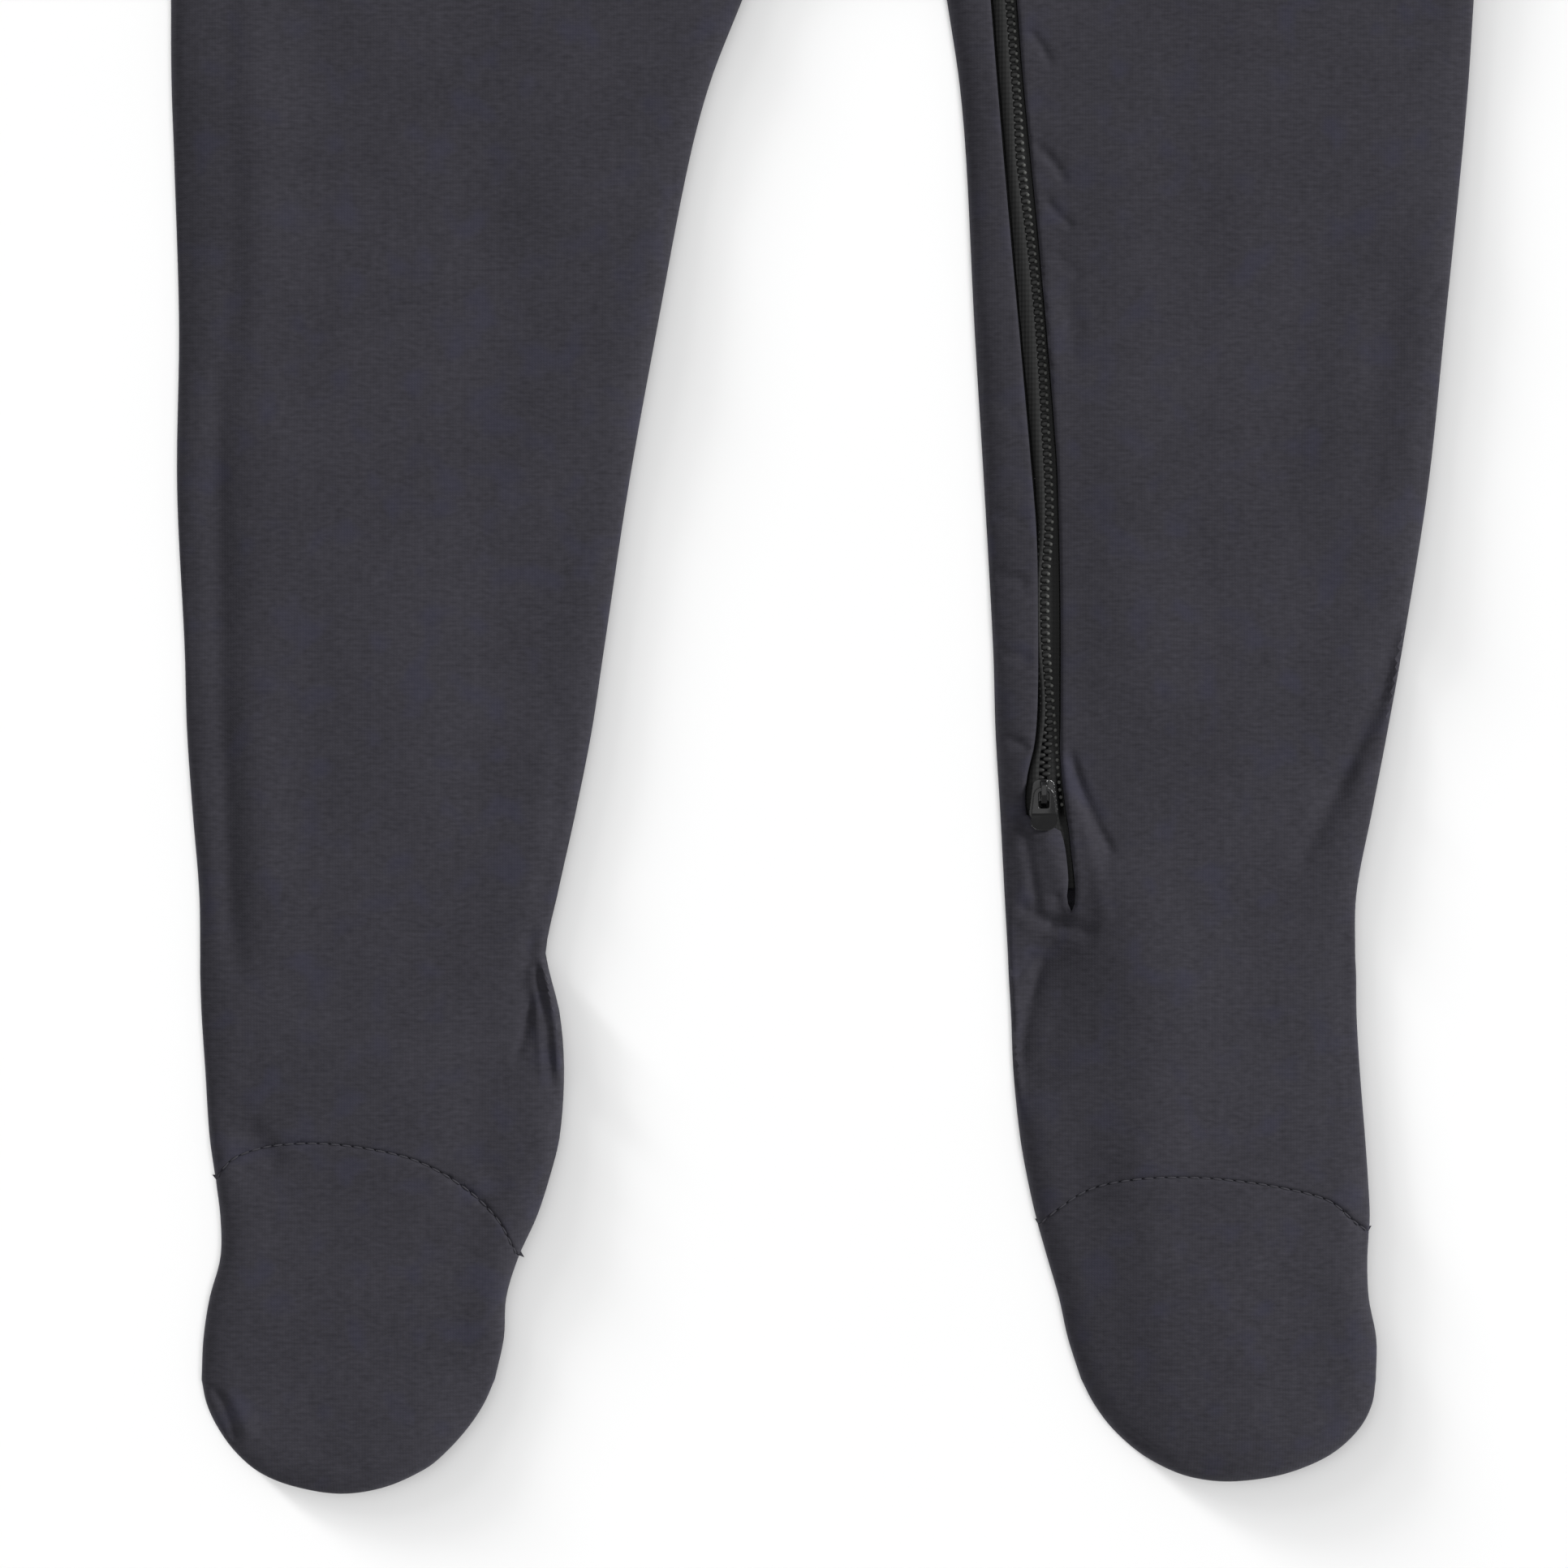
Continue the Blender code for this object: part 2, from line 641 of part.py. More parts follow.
def flat_solid(name, outline, thickness=WALL, under=UNDER_EDGE):
    """Flat piece whose outline is rounded a little underneath."""
    outline = np.array(outline, float)
    ahead = np.roll(outline, -1, axis=0) - np.roll(outline, 1, axis=0)
    inward = np.column_stack([-ahead[:, 1], ahead[:, 0]])
    inward /= np.linalg.norm(inward, axis=1)[:, None]
    inward *= math.copysign(1.0, signed_area(outline))
    rings = [
        np.column_stack([outline, np.full(len(outline), thickness)]),
        np.column_stack([outline, np.full(len(outline), under)]),
        np.column_stack([outline + inward * under, np.zeros(len(outline))]),
    ]
    mesh = bmesh.new()
    loops = [[mesh.verts.new(point) for point in ring] for ring in rings]
    for upper, lower in zip(loops[:-1], loops[1:]):
        for i in range(len(upper)):
            mesh.faces.new([upper[i - 1], upper[i], lower[i], lower[i - 1]])
    for corners in fill_triangles(outline):
        mesh.faces.new([loops[0][i] for i in corners])
        mesh.faces.new([loops[-1][i] for i in reversed(corners)])
    bmesh.ops.recalc_face_normals(mesh, faces=mesh.faces)
    return solid_object(name, mesh)


def fill_triangles(outline):
    """Triangles, as point numbers, that fill a plan outline."""
    points = [Vector(point) for point in outline]
    _, _, faces, sources, _, _ = delaunay_2d_cdt(points, [], [list(range(len(points)))], 1, 1e-5)
    return [[sources[i][0] for i in face] for face in faces]


def plain_object(name, mesh):
    """An object in millimetres, for shapes that are still to be joined or cut."""
    data = bpy.data.meshes.new(name)
    mesh.to_mesh(data)
    mesh.free()
    made = bpy.data.objects.new(name, data)
    bpy.context.collection.objects.link(made)
    return made


def finished(made):
    """Scales an object's mesh to metres and sets its shading."""
    made.data.transform(Matrix.Scale(MM, 4))
    made.data.shade_smooth()
    made.data.set_sharp_from_angle(angle=math.radians(35.0))
    return made


def solid_object(name, mesh):
    bmesh.ops.triangulate(mesh, faces=mesh.faces)
    return finished(plain_object(name, mesh))


def give_material(made, kind):
    colour, roughness, metallic = PIECE_COLOURS[kind]
    material = bpy.data.materials.new(made.name + "_" + kind)
    material.use_nodes = True
    shader = material.node_tree.nodes["Principled BSDF"]
    shader.inputs["Base Color"].default_value = colour
    shader.inputs["Roughness"].default_value = roughness
    shader.inputs["Metallic"].default_value = metallic
    made.data.materials.append(material)
    return made


# ---------------------------------------------------------------- the front
LEG_LOW = 62.0            # reference height of the row that follows the foot-top seam
LEG_ROWS = 20
CLOSE_UPS = (130.0, 136.0, 139.8, 143.0, 148.0, 154.0, 160.0)     # rows beside the slider
ZIP_LEG_ROWS = 10
ANKLE_ROWS = 7
BODY_ROWS = 8
STRIP_SHARES = (0.0, 0.035, 0.14, 0.32, 0.62, 1.0)
BODY_EASE = 140.0         # over this height the body's columns ease to even ones
SHOULDER_SHARE = 0.42     # of the columns that run up to the shoulder seam
ZIP_NECK_X = 5.0          # the neckline meets the zip from here


def leg_heights(start, count):
    """Heights of the rows from a start to the top of the crotch."""
    return list(np.linspace(start, CROTCH_ARC_START, count))[:-1] + crotch_heights(8)


def zip_leg_heights():
    """The same from the zip's end, close together beside the slider."""
    return [ZIP_END_UP, *CLOSE_UPS[:-1]] + leg_heights(CLOSE_UPS[-1], ZIP_LEG_ROWS)


def body_heights():
    """Heights from the crotch to the armpit, close together just above the crotch."""
    close = [CROTCH_UP + step for step in (*EDGE_STEPS, 16.0)]
    return close + list(np.linspace(CROTCH_UP + 34.0, ARMPIT[1], BODY_ROWS))


def even_shares(side, count):
    """Shares of a body row that is even apart from the close steps by its side seam."""
    even = np.linspace(0.0, 1.0, count)
    steps = np.array(EDGE_STEPS) / HALF_BODY
    if side == "right":
        return np.concatenate([steps, even[len(steps):]])
    return np.concatenate([even[:-len(steps)], 1.0 - steps[::-1]])


def torso_grid(side, low_row):
    """Rows between a side seam and the zip, whose spacing eases from the lowest row's to an even one."""
    shares_low = (low_row[:, 0] - low_row[0, 0]) / (low_row[-1, 0] - low_row[0, 0])
    shares_high = even_shares(side, len(low_row))
    grid = []
    for height in body_heights():
        shares = mix(shares_low, shares_high, float(smooth_step((height - CROTCH_UP) / BODY_EASE)))
        slit, seam = slit_edge(side, height), outer_edge(side, height)
        start, end = (seam, slit) if side == "right" else (slit, seam)
        grid.append([(mix(start, end, share), height) for share in shares])
    return np.array(grid)


def chest_grid(side, low_row):
    """From the armpit to the shoulder and neckline."""
    tip, corner, hole = SHOULDER_TIP, NECK_SIDE, armhole(FINE)
    neck = [point for point in front_neckline(FINE) if point[0] > ZIP_NECK_X]
    if side == "right":
        (tip, corner), hole, neck = mirrored([tip, corner]), mirrored(hole), mirrored(neck)
    neck.append((slit_edge(side, NECK_FRONT_UP), NECK_FRONT_UP))
    shoulder_count = round(len(low_row) * SHOULDER_SHARE)
    neck_count = len(low_row) - shoulder_count + 1
    shoulder = resample([tip, corner], np.linspace(0, 1, shoulder_count))
    top = np.vstack([shoulder, resample(neck, np.linspace(0, 1, neck_count))[1:]])
    rises = armhole_shares()
    seam_edge = resample(hole, rises)
    zip_edge = [(slit_edge(side, up), up) for up in mix(ARMPIT[1], NECK_FRONT_UP, rises)]
    if side == "left":
        return coons(low_row, top[::-1], zip_edge, seam_edge)
    return coons(low_row, top, seam_edge, zip_edge)


def zip_rows(up):
    """Plan points at one height: from the inner leg to the zip, and from the zip to the side seam."""
    inner, seam = inner_edge("left", up), outer_edge("left", up)
    right_edge, left_edge = slit_edge("right", up), slit_edge("left", up)
    strip = [(mix(inner, right_edge, share), up) for share in STRIP_SHARES]
    outer_shares = edge_shares(PANEL_WIDTH, 8, first=False)
    return strip, [(mix(left_edge, seam, share), up) for share in outer_shares]


def foot_seam_shares(side):
    """Places along the foot-top seam, which the front and the foot top share."""
    if side == "right":
        return edge_shares(LEG_WIDTH, 8)
    strip, outer = zip_rows(ZIP_END_UP)
    row = np.array(strip + outer[1:])[:, 0]
    return (row - row[0]) / (row[-1] - row[0])


def front_grids():
    right_leg = leg_grid("right", leg_heights(LEG_LOW, LEG_ROWS), foot_seam_shares("right"))
    rows = [zip_rows(up) for up in zip_leg_heights()]
    strip, outer = (np.array([row[part] for row in rows]) for part in (0, 1))
    ankle_heights = np.linspace(LEG_LOW, ZIP_END_UP, ANKLE_ROWS)
    ankle = leg_grid("left", ankle_heights, foot_seam_shares("left"), ZIP_END_UP - LEG_LOW)
    grids = [right_leg, strip, outer, ankle]
    for side in ("right", "left"):
        lowest = np.concatenate([right_leg[-1], strip[-1][1:]]) if side == "right" else outer[-1]
        body = torso_grid(side, lowest)
        grids += [body, chest_grid(side, body[-1])]
    return grids


def make_front():
    return thick_solid("front", [plan_sheet(front_grids(), cloth_height)])


# ---------------------------------------------------------------- feet
def make_foot_top(side):
    """Rings that close in from the seam and the toe to the middle of the foot."""
    base = toe_base(side)
    seam = seam_across_leg(side, vamp_up, foot_seam_shares(side), -SEAM_GAP / 2)
    first, second = ("outer", "inner") if side == "right" else ("inner", "outer")
    down = edge_run(side, second, seam[-1][1], base, SIDE_STEP)[1:]
    toe = toe_round(side, TOE_POINTS)[::-1][1:-1]
    rise = edge_run(side, first, base, seam[0][1], SIDE_STEP)[:-1]
    ring = np.array(seam + down + toe + rise)
    centre = np.array([ring[:, 0].mean(), (ring[:, 1].max() + ring[:, 1].min()) / 2])
    reach = np.linalg.norm(ring - centre, axis=1)[:, None]
    rings = [mix(ring, centre, step / reach) for step in EDGE_STEPS]
    rings += [mix(rings[-1], centre, share) for share in FOOT_RINGS]
    grid = np.array([np.vstack([row, row[:1]]) for row in rings])
    return thick_solid("foot_top_" + side, [plan_sheet([grid], cloth_height)])


def heel_line(side, shift):
    """The heel seam as points, from the wearer's right to left."""
    shares = (1.0 - np.cos(np.linspace(0.0, math.pi, TOE_POINTS))) / 2
    return [tuple(point) for point in seam_across_leg(side, heel_up, shares, shift)]


def make_sole(side):
    first, second = ("outer", "inner") if side == "right" else ("inner", "outer")
    base = toe_base(side)
    heel = heel_line(side, -SEAM_GAP / 2)
    down = edge_run(side, second, heel[-1][1], base, SIDE_STEP)[1:]
    toe = toe_round(side, TOE_POINTS)[::-1][1:-1]
    rise = edge_run(side, first, base, heel[0][1], SIDE_STEP)[:-1]
    return flat_solid("sole_" + side, heel + down + toe + rise)


# ---------------------------------------------------------------- the back
def half_back(side):
    """From the crotch down the inner leg, round the heel, up the side and over to mid neck."""
    heel = heel_line(side, SEAM_GAP / 2)
    if side == "right":
        heel = heel[::-1]
    inner = edge_run(side, "inner", heel[0][1], CROTCH_ARC_START, BACK_STEP)
    inner += [(inner_edge(side, up), up) for up in crotch_heights(9)[1:]]
    seam = edge_run(side, "outer", heel[-1][1], ARMPIT[1], BACK_STEP)
    hole = [tuple(point) for point in resample(armhole(FINE), armhole_shares())]
    top = hole[1:] + back_neckline(9)
    return inner[::-1] + heel[1:-1] + seam + (mirrored(top) if side == "right" else top)


def make_back():
    return flat_solid("back", half_back("left") + half_back("right")[::-1][1:-1])


# ---------------------------------------------------------------- sleeves and cuffs
def tube_solid(name, grid):
    upper = plan_sheet([grid], cloth_height)
    under = plan_sheet([grid], tube_underside, facing_up=False)
    return thick_solid(name, [upper, under])


def for_side(grid, side):
    """A left-hand grid, or its mirror image, with its columns running from -X to +X."""
    return grid[:, ::-1] if side == "left" else grid * np.array([-1.0, 1.0])


def make_sleeve(side):
    rows = np.linspace(0.0, 1.0, 12)
    low_edge = resample(sleeve_under(FINE), rows)
    top_edge = resample(sleeve_top(FINE), rows)
    clear = 2.0 * SLEEVE_GAP / SLEEVE_TOP_LENGTH
    low_edge[0] = resample(sleeve_under(FINE), [clear * 2.0])[0]
    top_edge[0] = resample(sleeve_top(FINE), [clear])[0]
    seam = resample(armhole(FINE), armhole_shares()) + np.array([SLEEVE_GAP, 0.0])
    seam[0], seam[-1] = low_edge[0], top_edge[0]
    wrist = resample([low_edge[-1], top_edge[-1]], edge_shares(WRIST_WIDTH, 8))
    return tube_solid("sleeve_" + side, for_side(coons(seam, wrist, low_edge, top_edge), side))


def make_cuff(side):
    near_top, near_low, far_top, far_low = cuff_corners()
    across = edge_shares(CUFF_WIDTH, 6)
    rows = np.linspace(0.0, 1.0, 4)
    near = resample([near_low, near_top], across)
    far = resample([far_low, far_top], across)
    grid = coons(near, far, resample([near_low, far_low], rows), resample([near_top, far_top], rows))
    return tube_solid("cuff_" + side, for_side(grid, side))


# ---------------------------------------------------------------- neckband
def band_grid(neckline, shares):
    """Left half of the band: columns run from its fold to the middle, rows from seam to edge."""
    seam = resample(neckline, shares)
    ahead = np.gradient(seam, axis=0)
    upward = np.column_stack([ahead[:, 1], -ahead[:, 0]])
    upward /= np.linalg.norm(upward, axis=1)[:, None]
    upward[-1] = (0.0, 1.0)
    run = np.concatenate([[0.0], np.cumsum(np.linalg.norm(np.diff(seam, axis=0), axis=1))])
    lean = mix(np.array(NECK_FOLD_LEAN), upward, smooth_step(run / BAND_TURN)[:, None])
    lean /= np.linalg.norm(lean, axis=1)[:, None]
    return np.array([seam + lean * mix(SEAM_GAP, NECKBAND_HEIGHT, share) for share in BAND_ROWS])


def make_neckband():
    steps = np.array(EDGE_STEPS) / BAND_HALF_RUN
    shares = np.concatenate([steps, np.linspace(steps[-1], 1.0, 9)[1:]])
    sheets = []
    for side, sign, zip_column in (("right", -1.0, -1), ("left", 1.0, 0)):
        limit = sign * slit_edge(side, NECK_FRONT_UP)
        neckline = [point for point in front_neckline(200) if point[0] > limit]
        half = for_side(band_grid(neckline, shares), side)
        half[:, zip_column, 0] = [slit_edge(side, up) for up in half[:, zip_column, 1]]
        sheets.append(plan_sheet([half], cloth_height))
    rear = band_grid(back_neckline(200), shares)
    rear[:, -1, 0] = 0.0
    halves = [for_side(rear, side) for side in ("right", "left")]
    sheets.append(plan_sheet(halves, tube_underside, facing_up=False))
    return thick_solid("neckband", sheets)


# ---------------------------------------------------------------- zip
ZIP_TOP_UP = NECK_FRONT_UP + NECKBAND_HEIGHT - TAPE_TOP_MARGIN


def zip_line(up):
    """Middle of the zip, which runs straight down from the slider."""
    middle = (slit_edge("right", up) + slit_edge("left", up)) / 2
    ease = float(smooth_step((up - SLIDER_UP - SLIDER_LENGTH / 2) / 20.0))
    return mix(SLIDER_X, middle, ease)


def zip_heights(start, end, step):
    return np.linspace(start, end, max(2, int((end - start) / step) + 1))


def ribbon_solid(name, rows, top_of, thickness):
    """A strip laid under or in the cloth: plan rows, the height of its top, and its thickness."""
    grid = np.array(rows)
    flat = grid.reshape(-1, 2)
    tops = top_of(flat).reshape(grid.shape[:2])
    mesh = bmesh.new()
    upper = [[mesh.verts.new((*p, z)) for p, z in zip(row, high)] for row, high in zip(grid, tops)]
    lower = [[mesh.verts.new((*p, z - thickness)) for p, z in zip(row, high)]
             for row, high in zip(grid, tops)]
    for layer in (upper, lower):
        for near, far in zip(layer[:-1], layer[1:]):
            for j in range(len(near) - 1):
                mesh.faces.new([near[j], near[j + 1], far[j + 1], far[j]])
    border = [row[0] for row in upper] + upper[-1][1:] + [row[-1] for row in upper[-2::-1]]
    border += upper[0][-2:0:-1]
    under = [row[0] for row in lower] + lower[-1][1:] + [row[-1] for row in lower[-2::-1]]
    under += lower[0][-2:0:-1]
    for i in range(len(border)):
        mesh.faces.new([border[i - 1], border[i], under[i], under[i - 1]])
    bmesh.ops.recalc_face_normals(mesh, faces=mesh.faces)
    return solid_object(name, mesh)


def tape_level(points):
    """Top of the tape: just under the front's inner face, also where a fold dips."""
    return cloth_height(points) - WALL - SEAM_GAP - TAPE_DEPTH


def make_tape(side):
    sign = -1.0 if side == "right" else 1.0
    rows = []
    for up in zip_heights(ZIP_END_UP + 5.0, ZIP_TOP_UP, TAPE_ROW):
        middle = zip_line(up)
        post = SLIDER_POST[0] / 2 + SLIDER_CLEAR
        ease = float(smooth_step((abs(up - SLIDER_UP) - PART_START) / PART_EASE))
        apart = mix(post, SEAM_GAP / 2, ease)
        outside = middle + sign * TAPE_HALF
        if side == "right" and up < CROTCH_UP:
            outside = max(outside, inner_edge("left", up) + TAPE_FROM_SEAM)
        inside = middle + sign * apart
        rows.append([(mix(inside, outside, share), up) for share in (0.0, 0.35, 0.7, 1.0)])
    return ribbon_solid("zip_tape_" + side, rows, tape_level, TAPE_THICKNESS)


def make_coil():
    """A plain ridge where the coil's two rows of loops lock."""
    start = SLIDER_UP + SLIDER_LENGTH / 2 + SEAM_GAP
    mesh = bmesh.new()
    rings = []
    for up in zip_heights(start, ZIP_TOP_UP, COIL_ROW):
        middle = zip_line(up)
        level = tape_level(np.array([[middle, up]]))[0] + COIL_LIFT
        ring = [(middle + x * COIL_WIDTH, up, level + z * COIL_HEIGHT) for x, z in COIL_PROFILE]
        rings.append([mesh.verts.new(point) for point in ring])
    for near, far in zip(rings[:-1], rings[1:]):
        for i in range(len(near)):
            mesh.faces.new([near[i - 1], near[i], far[i], far[i - 1]])
    mesh.faces.new(rings[0])
    mesh.faces.new(rings[-1][::-1])
    bmesh.ops.recalc_face_normals(mesh, faces=mesh.faces)
    return solid_object("zip_coil", mesh)


def rounded_outline(length, near_width, far_width, corner):
    """Plan outline of a plate with round corners; its length runs along Y."""
    steps = 4
    corners = [
        (near_width / 2, -length / 2, -90.0),
        (far_width / 2, length / 2, 0.0),
        (-far_width / 2, length / 2, 90.0),
        (-near_width / 2, -length / 2, 180.0),
    ]
    outline = []
    for x, y, first in corners:
        cx, cy = x - math.copysign(corner, x), y - math.copysign(corner, y)
        for k in range(steps + 1):
            angle = math.radians(first + 90.0 * k / steps)
            outline.append((cx + corner * math.cos(angle), cy + corner * math.sin(angle)))
    return outline


def prism(name, outline, low, high, place=(0.0, 0.0)):
    """Closed plate from a plan outline between two heights."""
    ring = [(x + place[0], y + place[1], low) for x, y in outline]
    return extruded(name, ring, (0.0, 0.0, high - low))


def side_prism(name, outline, width, middle):
    """Closed plate from a (Y, Z) outline, with its width along X about a middle."""
    ring = [(middle - width / 2, y, z) for y, z in outline]
    return extruded(name, ring, (width, 0.0, 0.0))


def extruded(name, ring, reach):
    mesh = bmesh.new()
    face = mesh.faces.new([mesh.verts.new(point) for point in ring])
    lift = bmesh.ops.extrude_face_region(mesh, geom=[face])
    moved = [item for item in lift["geom"] if isinstance(item, bmesh.types.BMVert)]
    bmesh.ops.translate(mesh, vec=reach, verts=moved)
    bmesh.ops.recalc_face_normals(mesh, faces=mesh.faces)
    return plain_object(name, mesh)


def combine(base, tool, operation):
    """Applies one Boolean to the base and removes the tool."""
    step = base.modifiers.new(operation.lower(), "BOOLEAN")
    step.operation = operation
    step.solver = "EXACT"
    step.object = tool
    graph = bpy.context.evaluated_depsgraph_get()
    result = bpy.data.meshes.new_from_object(base.evaluated_get(graph))
    base.modifiers.clear()
    base.data = result
    bpy.data.objects.remove(tool)


def slider_levels():
    """Heights of the slider's plates and of the axis that the pull turns on."""
    tape = float(tape_level(np.array([[SLIDER_X, SLIDER_UP]]))[0])
    crown_low = tape + COIL_LIFT + COIL_HEIGHT + SLIDER_CLEAR
    base_high = tape - TAPE_THICKNESS - SLIDER_CLEAR
    axis = crown_low + SLIDER_PLATE + PIN_SPACE
    return base_high, crown_low, axis


BRIDGE_FAR = SLIDER_UP + SLIDER_LENGTH / 2 - BRIDGE_SETBACK
HINGE_UP = BRIDGE_FAR - BRIDGE_WALL - PIN_SPACE


def make_bridge(top, axis):
    """Arch over the slider's upper plate, with the hole that the pull's bar turns in."""
    far, near = BRIDGE_FAR, BRIDGE_FAR - BRIDGE_LENGTH
    roof = axis + PIN_SPACE
    high = roof + BRIDGE_WALL
    arch = [(near, top - SINK), (far, top - SINK)]
    arch += [(far, high - BRIDGE_CHAMFER), (far - BRIDGE_CHAMFER, high)]
    arch += [(near + BRIDGE_SLOPE, high), (near + BRIDGE_CHAMFER, high - BRIDGE_CHAMFER)]
    bridge = side_prism("bridge", arch, BRIDGE_WIDTH, SLIDER_X)
    front, back, floor = near + BRIDGE_FOOT, far - BRIDGE_WALL, top - SINK / 2
    hole = [(front, floor), (back, floor), (back, roof - HOLE_CHAMFER), (back - HOLE_CHAMFER, roof)]
    hole += [(near + BRIDGE_SLOPE, roof), (front, top + 2 * HOLE_CHAMFER)]
    combine(bridge, side_prism("cutter", hole, BRIDGE_WIDTH * 3, SLIDER_X), "DIFFERENCE")
    return bridge


def make_slider():
    base_high, crown_low, axis = slider_levels()
    top = crown_low + SLIDER_PLATE
    place = (SLIDER_X, SLIDER_UP)
    plate = rounded_outline(SLIDER_LENGTH, SLIDER_MOUTH_WIDTH, SLIDER_TAIL_WIDTH, PLATE_CORNER)
    slider = prism("zip_slider", plate, crown_low, top, place)
    post = rounded_outline(SLIDER_POST[1], SLIDER_POST[0], SLIDER_POST[0], POST_CORNER)
    post_place = (SLIDER_X, SLIDER_UP - SLIDER_LENGTH / 2 + SLIDER_POST[1])
    combine(slider, prism("post", post, base_high - SINK, crown_low + SINK, post_place), "UNION")
    combine(slider, make_bridge(top, axis), "UNION")
    combine(slider, prism("base", plate, base_high - SLIDER_PLATE, base_high, place), "UNION")
    return finished(slider)


def make_pull():
    """Rounded tab whose end bar passes through the slider's bridge."""
    axis = slider_levels()[2]
    place = (SLIDER_X, HINGE_UP + PULL_BAR / 2 - PULL_LENGTH / 2)
    outline = rounded_outline(PULL_LENGTH, PULL_WIDTH, PULL_BAR_END_WIDTH, PULL_CORNER)
    low, high = axis - PULL_THICKNESS / 2, axis + PULL_THICKNESS / 2
    pull = prism("zip_pull", outline, low, high, place)
    window_width, window_length = PULL_WINDOW
    window = rounded_outline(window_length, window_width, window_width, WINDOW_CORNER)
    window_place = (SLIDER_X, HINGE_UP - PULL_BAR / 2 - window_length / 2)
    combine(pull, prism("window", window, low - SINK, high + SINK, window_place), "DIFFERENCE")
    return finished(pull)


# ---------------------------------------------------------------- assembly
def remove_everything():
    for item in list(bpy.data.objects):
        bpy.data.objects.remove(item, do_unlink=True)


def centre_on_box(pieces):
    """Moves all the meshes so that the box's bottom centre is the origin."""
    corners = []
    for piece in pieces:
        corners += [vertex.co for vertex in piece.data.vertices]
    points = np.array([tuple(corner) for corner in corners])
    low, high = points.min(axis=0), points.max(axis=0)
    shift = Vector((-(low[0] + high[0]) / 2, -(low[1] + high[1]) / 2, -low[2]))
    for piece in pieces:
        piece.data.transform(Matrix.Translation(shift))
    return shift


def put_origin(piece, point):
    """Sets a moving piece's origin on its joint's axis."""
    piece.data.transform(Matrix.Translation(-point))
    piece.location = point


def main():
    remove_everything()
    pieces = [give_material(make_back(), "jersey"), give_material(make_front(), "jersey")]
    for side in ("right", "left"):
        pieces.append(give_material(make_sole(side), "jersey"))
        pieces.append(give_material(make_foot_top(side), "jersey"))
        pieces.append(give_material(make_sleeve(side), "jersey"))
        pieces.append(give_material(make_cuff(side), "jersey"))
        pieces.append(give_material(make_tape(side), "tape"))
    pieces.append(give_material(make_neckband(), "jersey"))
    pieces.append(give_material(make_coil(), "nylon"))
    pieces.append(give_material(make_slider(), "metal"))
    pull = give_material(make_pull(), "metal")
    pieces.append(pull)
    shift = centre_on_box(pieces)
    put_origin(pull, Vector((SLIDER_X, HINGE_UP, slider_levels()[2])) * MM + shift)


main()
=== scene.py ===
"""Looks of a toddler's zip-up footed sleeper that lies flat: cloth, seams, zip and studio.

Plan points are (across, up) in millimetres, as on the cutting table: across is measured from the line
through the neck, positive towards the wearer's left, and up from the tip of the right toe.
"""

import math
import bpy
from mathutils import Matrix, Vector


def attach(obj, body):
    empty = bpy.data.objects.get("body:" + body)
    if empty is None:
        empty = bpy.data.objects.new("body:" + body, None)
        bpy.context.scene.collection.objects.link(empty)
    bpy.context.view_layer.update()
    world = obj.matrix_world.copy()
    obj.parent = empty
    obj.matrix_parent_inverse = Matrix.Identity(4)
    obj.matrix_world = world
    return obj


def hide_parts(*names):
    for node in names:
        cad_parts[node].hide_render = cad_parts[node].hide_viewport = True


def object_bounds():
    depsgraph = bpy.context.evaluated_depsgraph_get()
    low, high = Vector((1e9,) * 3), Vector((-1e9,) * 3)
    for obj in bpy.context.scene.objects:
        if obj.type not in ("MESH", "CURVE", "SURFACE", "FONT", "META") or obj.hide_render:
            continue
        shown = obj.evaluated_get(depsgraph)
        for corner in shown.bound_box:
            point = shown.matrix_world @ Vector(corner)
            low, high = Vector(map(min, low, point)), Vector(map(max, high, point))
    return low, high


bl_info = {
    "name": "Footed sleeper",
    "version": (1, 0, 0),
    "blender": (4, 5, 0),
    "location": "View3D > Sidebar > Sleeper",
    "description": "Dresses a zip-up footed sleeper that lies flat, and lights it",
    "category": "Object",
}

import bmesh
import bpy
import numpy as np
from mathutils import Vector
from mathutils.bvhtree import BVHTree
from mathutils.geometry import delaunay_2d_cdt

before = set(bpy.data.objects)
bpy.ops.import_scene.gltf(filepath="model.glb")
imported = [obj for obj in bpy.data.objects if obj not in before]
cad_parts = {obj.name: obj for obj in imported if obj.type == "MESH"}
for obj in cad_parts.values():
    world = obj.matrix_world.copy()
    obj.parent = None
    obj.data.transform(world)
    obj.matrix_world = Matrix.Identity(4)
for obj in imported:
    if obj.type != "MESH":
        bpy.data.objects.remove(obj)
CAD_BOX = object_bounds()

MM = 0.001
SAME_VERT = 1e-6                  # metres
PLAN_LOW = CAD_BOX[0].y / MM      # millimetres in the frame, of plan height 0
SURFACE_HALF = 3.0                # metres from its middle to its edge
SURFACE_DROP = 0.0002             # metres under the garment
VIEW_LEVEL = 0.002                # metres up, where the view has its stated width

# ---- sizes of the cut
WALL = 1.2
SEAM_GAP = 0.3
RIM = WALL + SEAM_GAP
EDGE_ROUND = 7.0
BODY_RISE = 3.4
FOOT_RISE = 4.1
FOOT_FULL_UP = 70.0
FOOT_BLEND = 40.0
CROWN = 0.7
CROWN_REACH = 45.0
UNDER_EDGE = 0.4

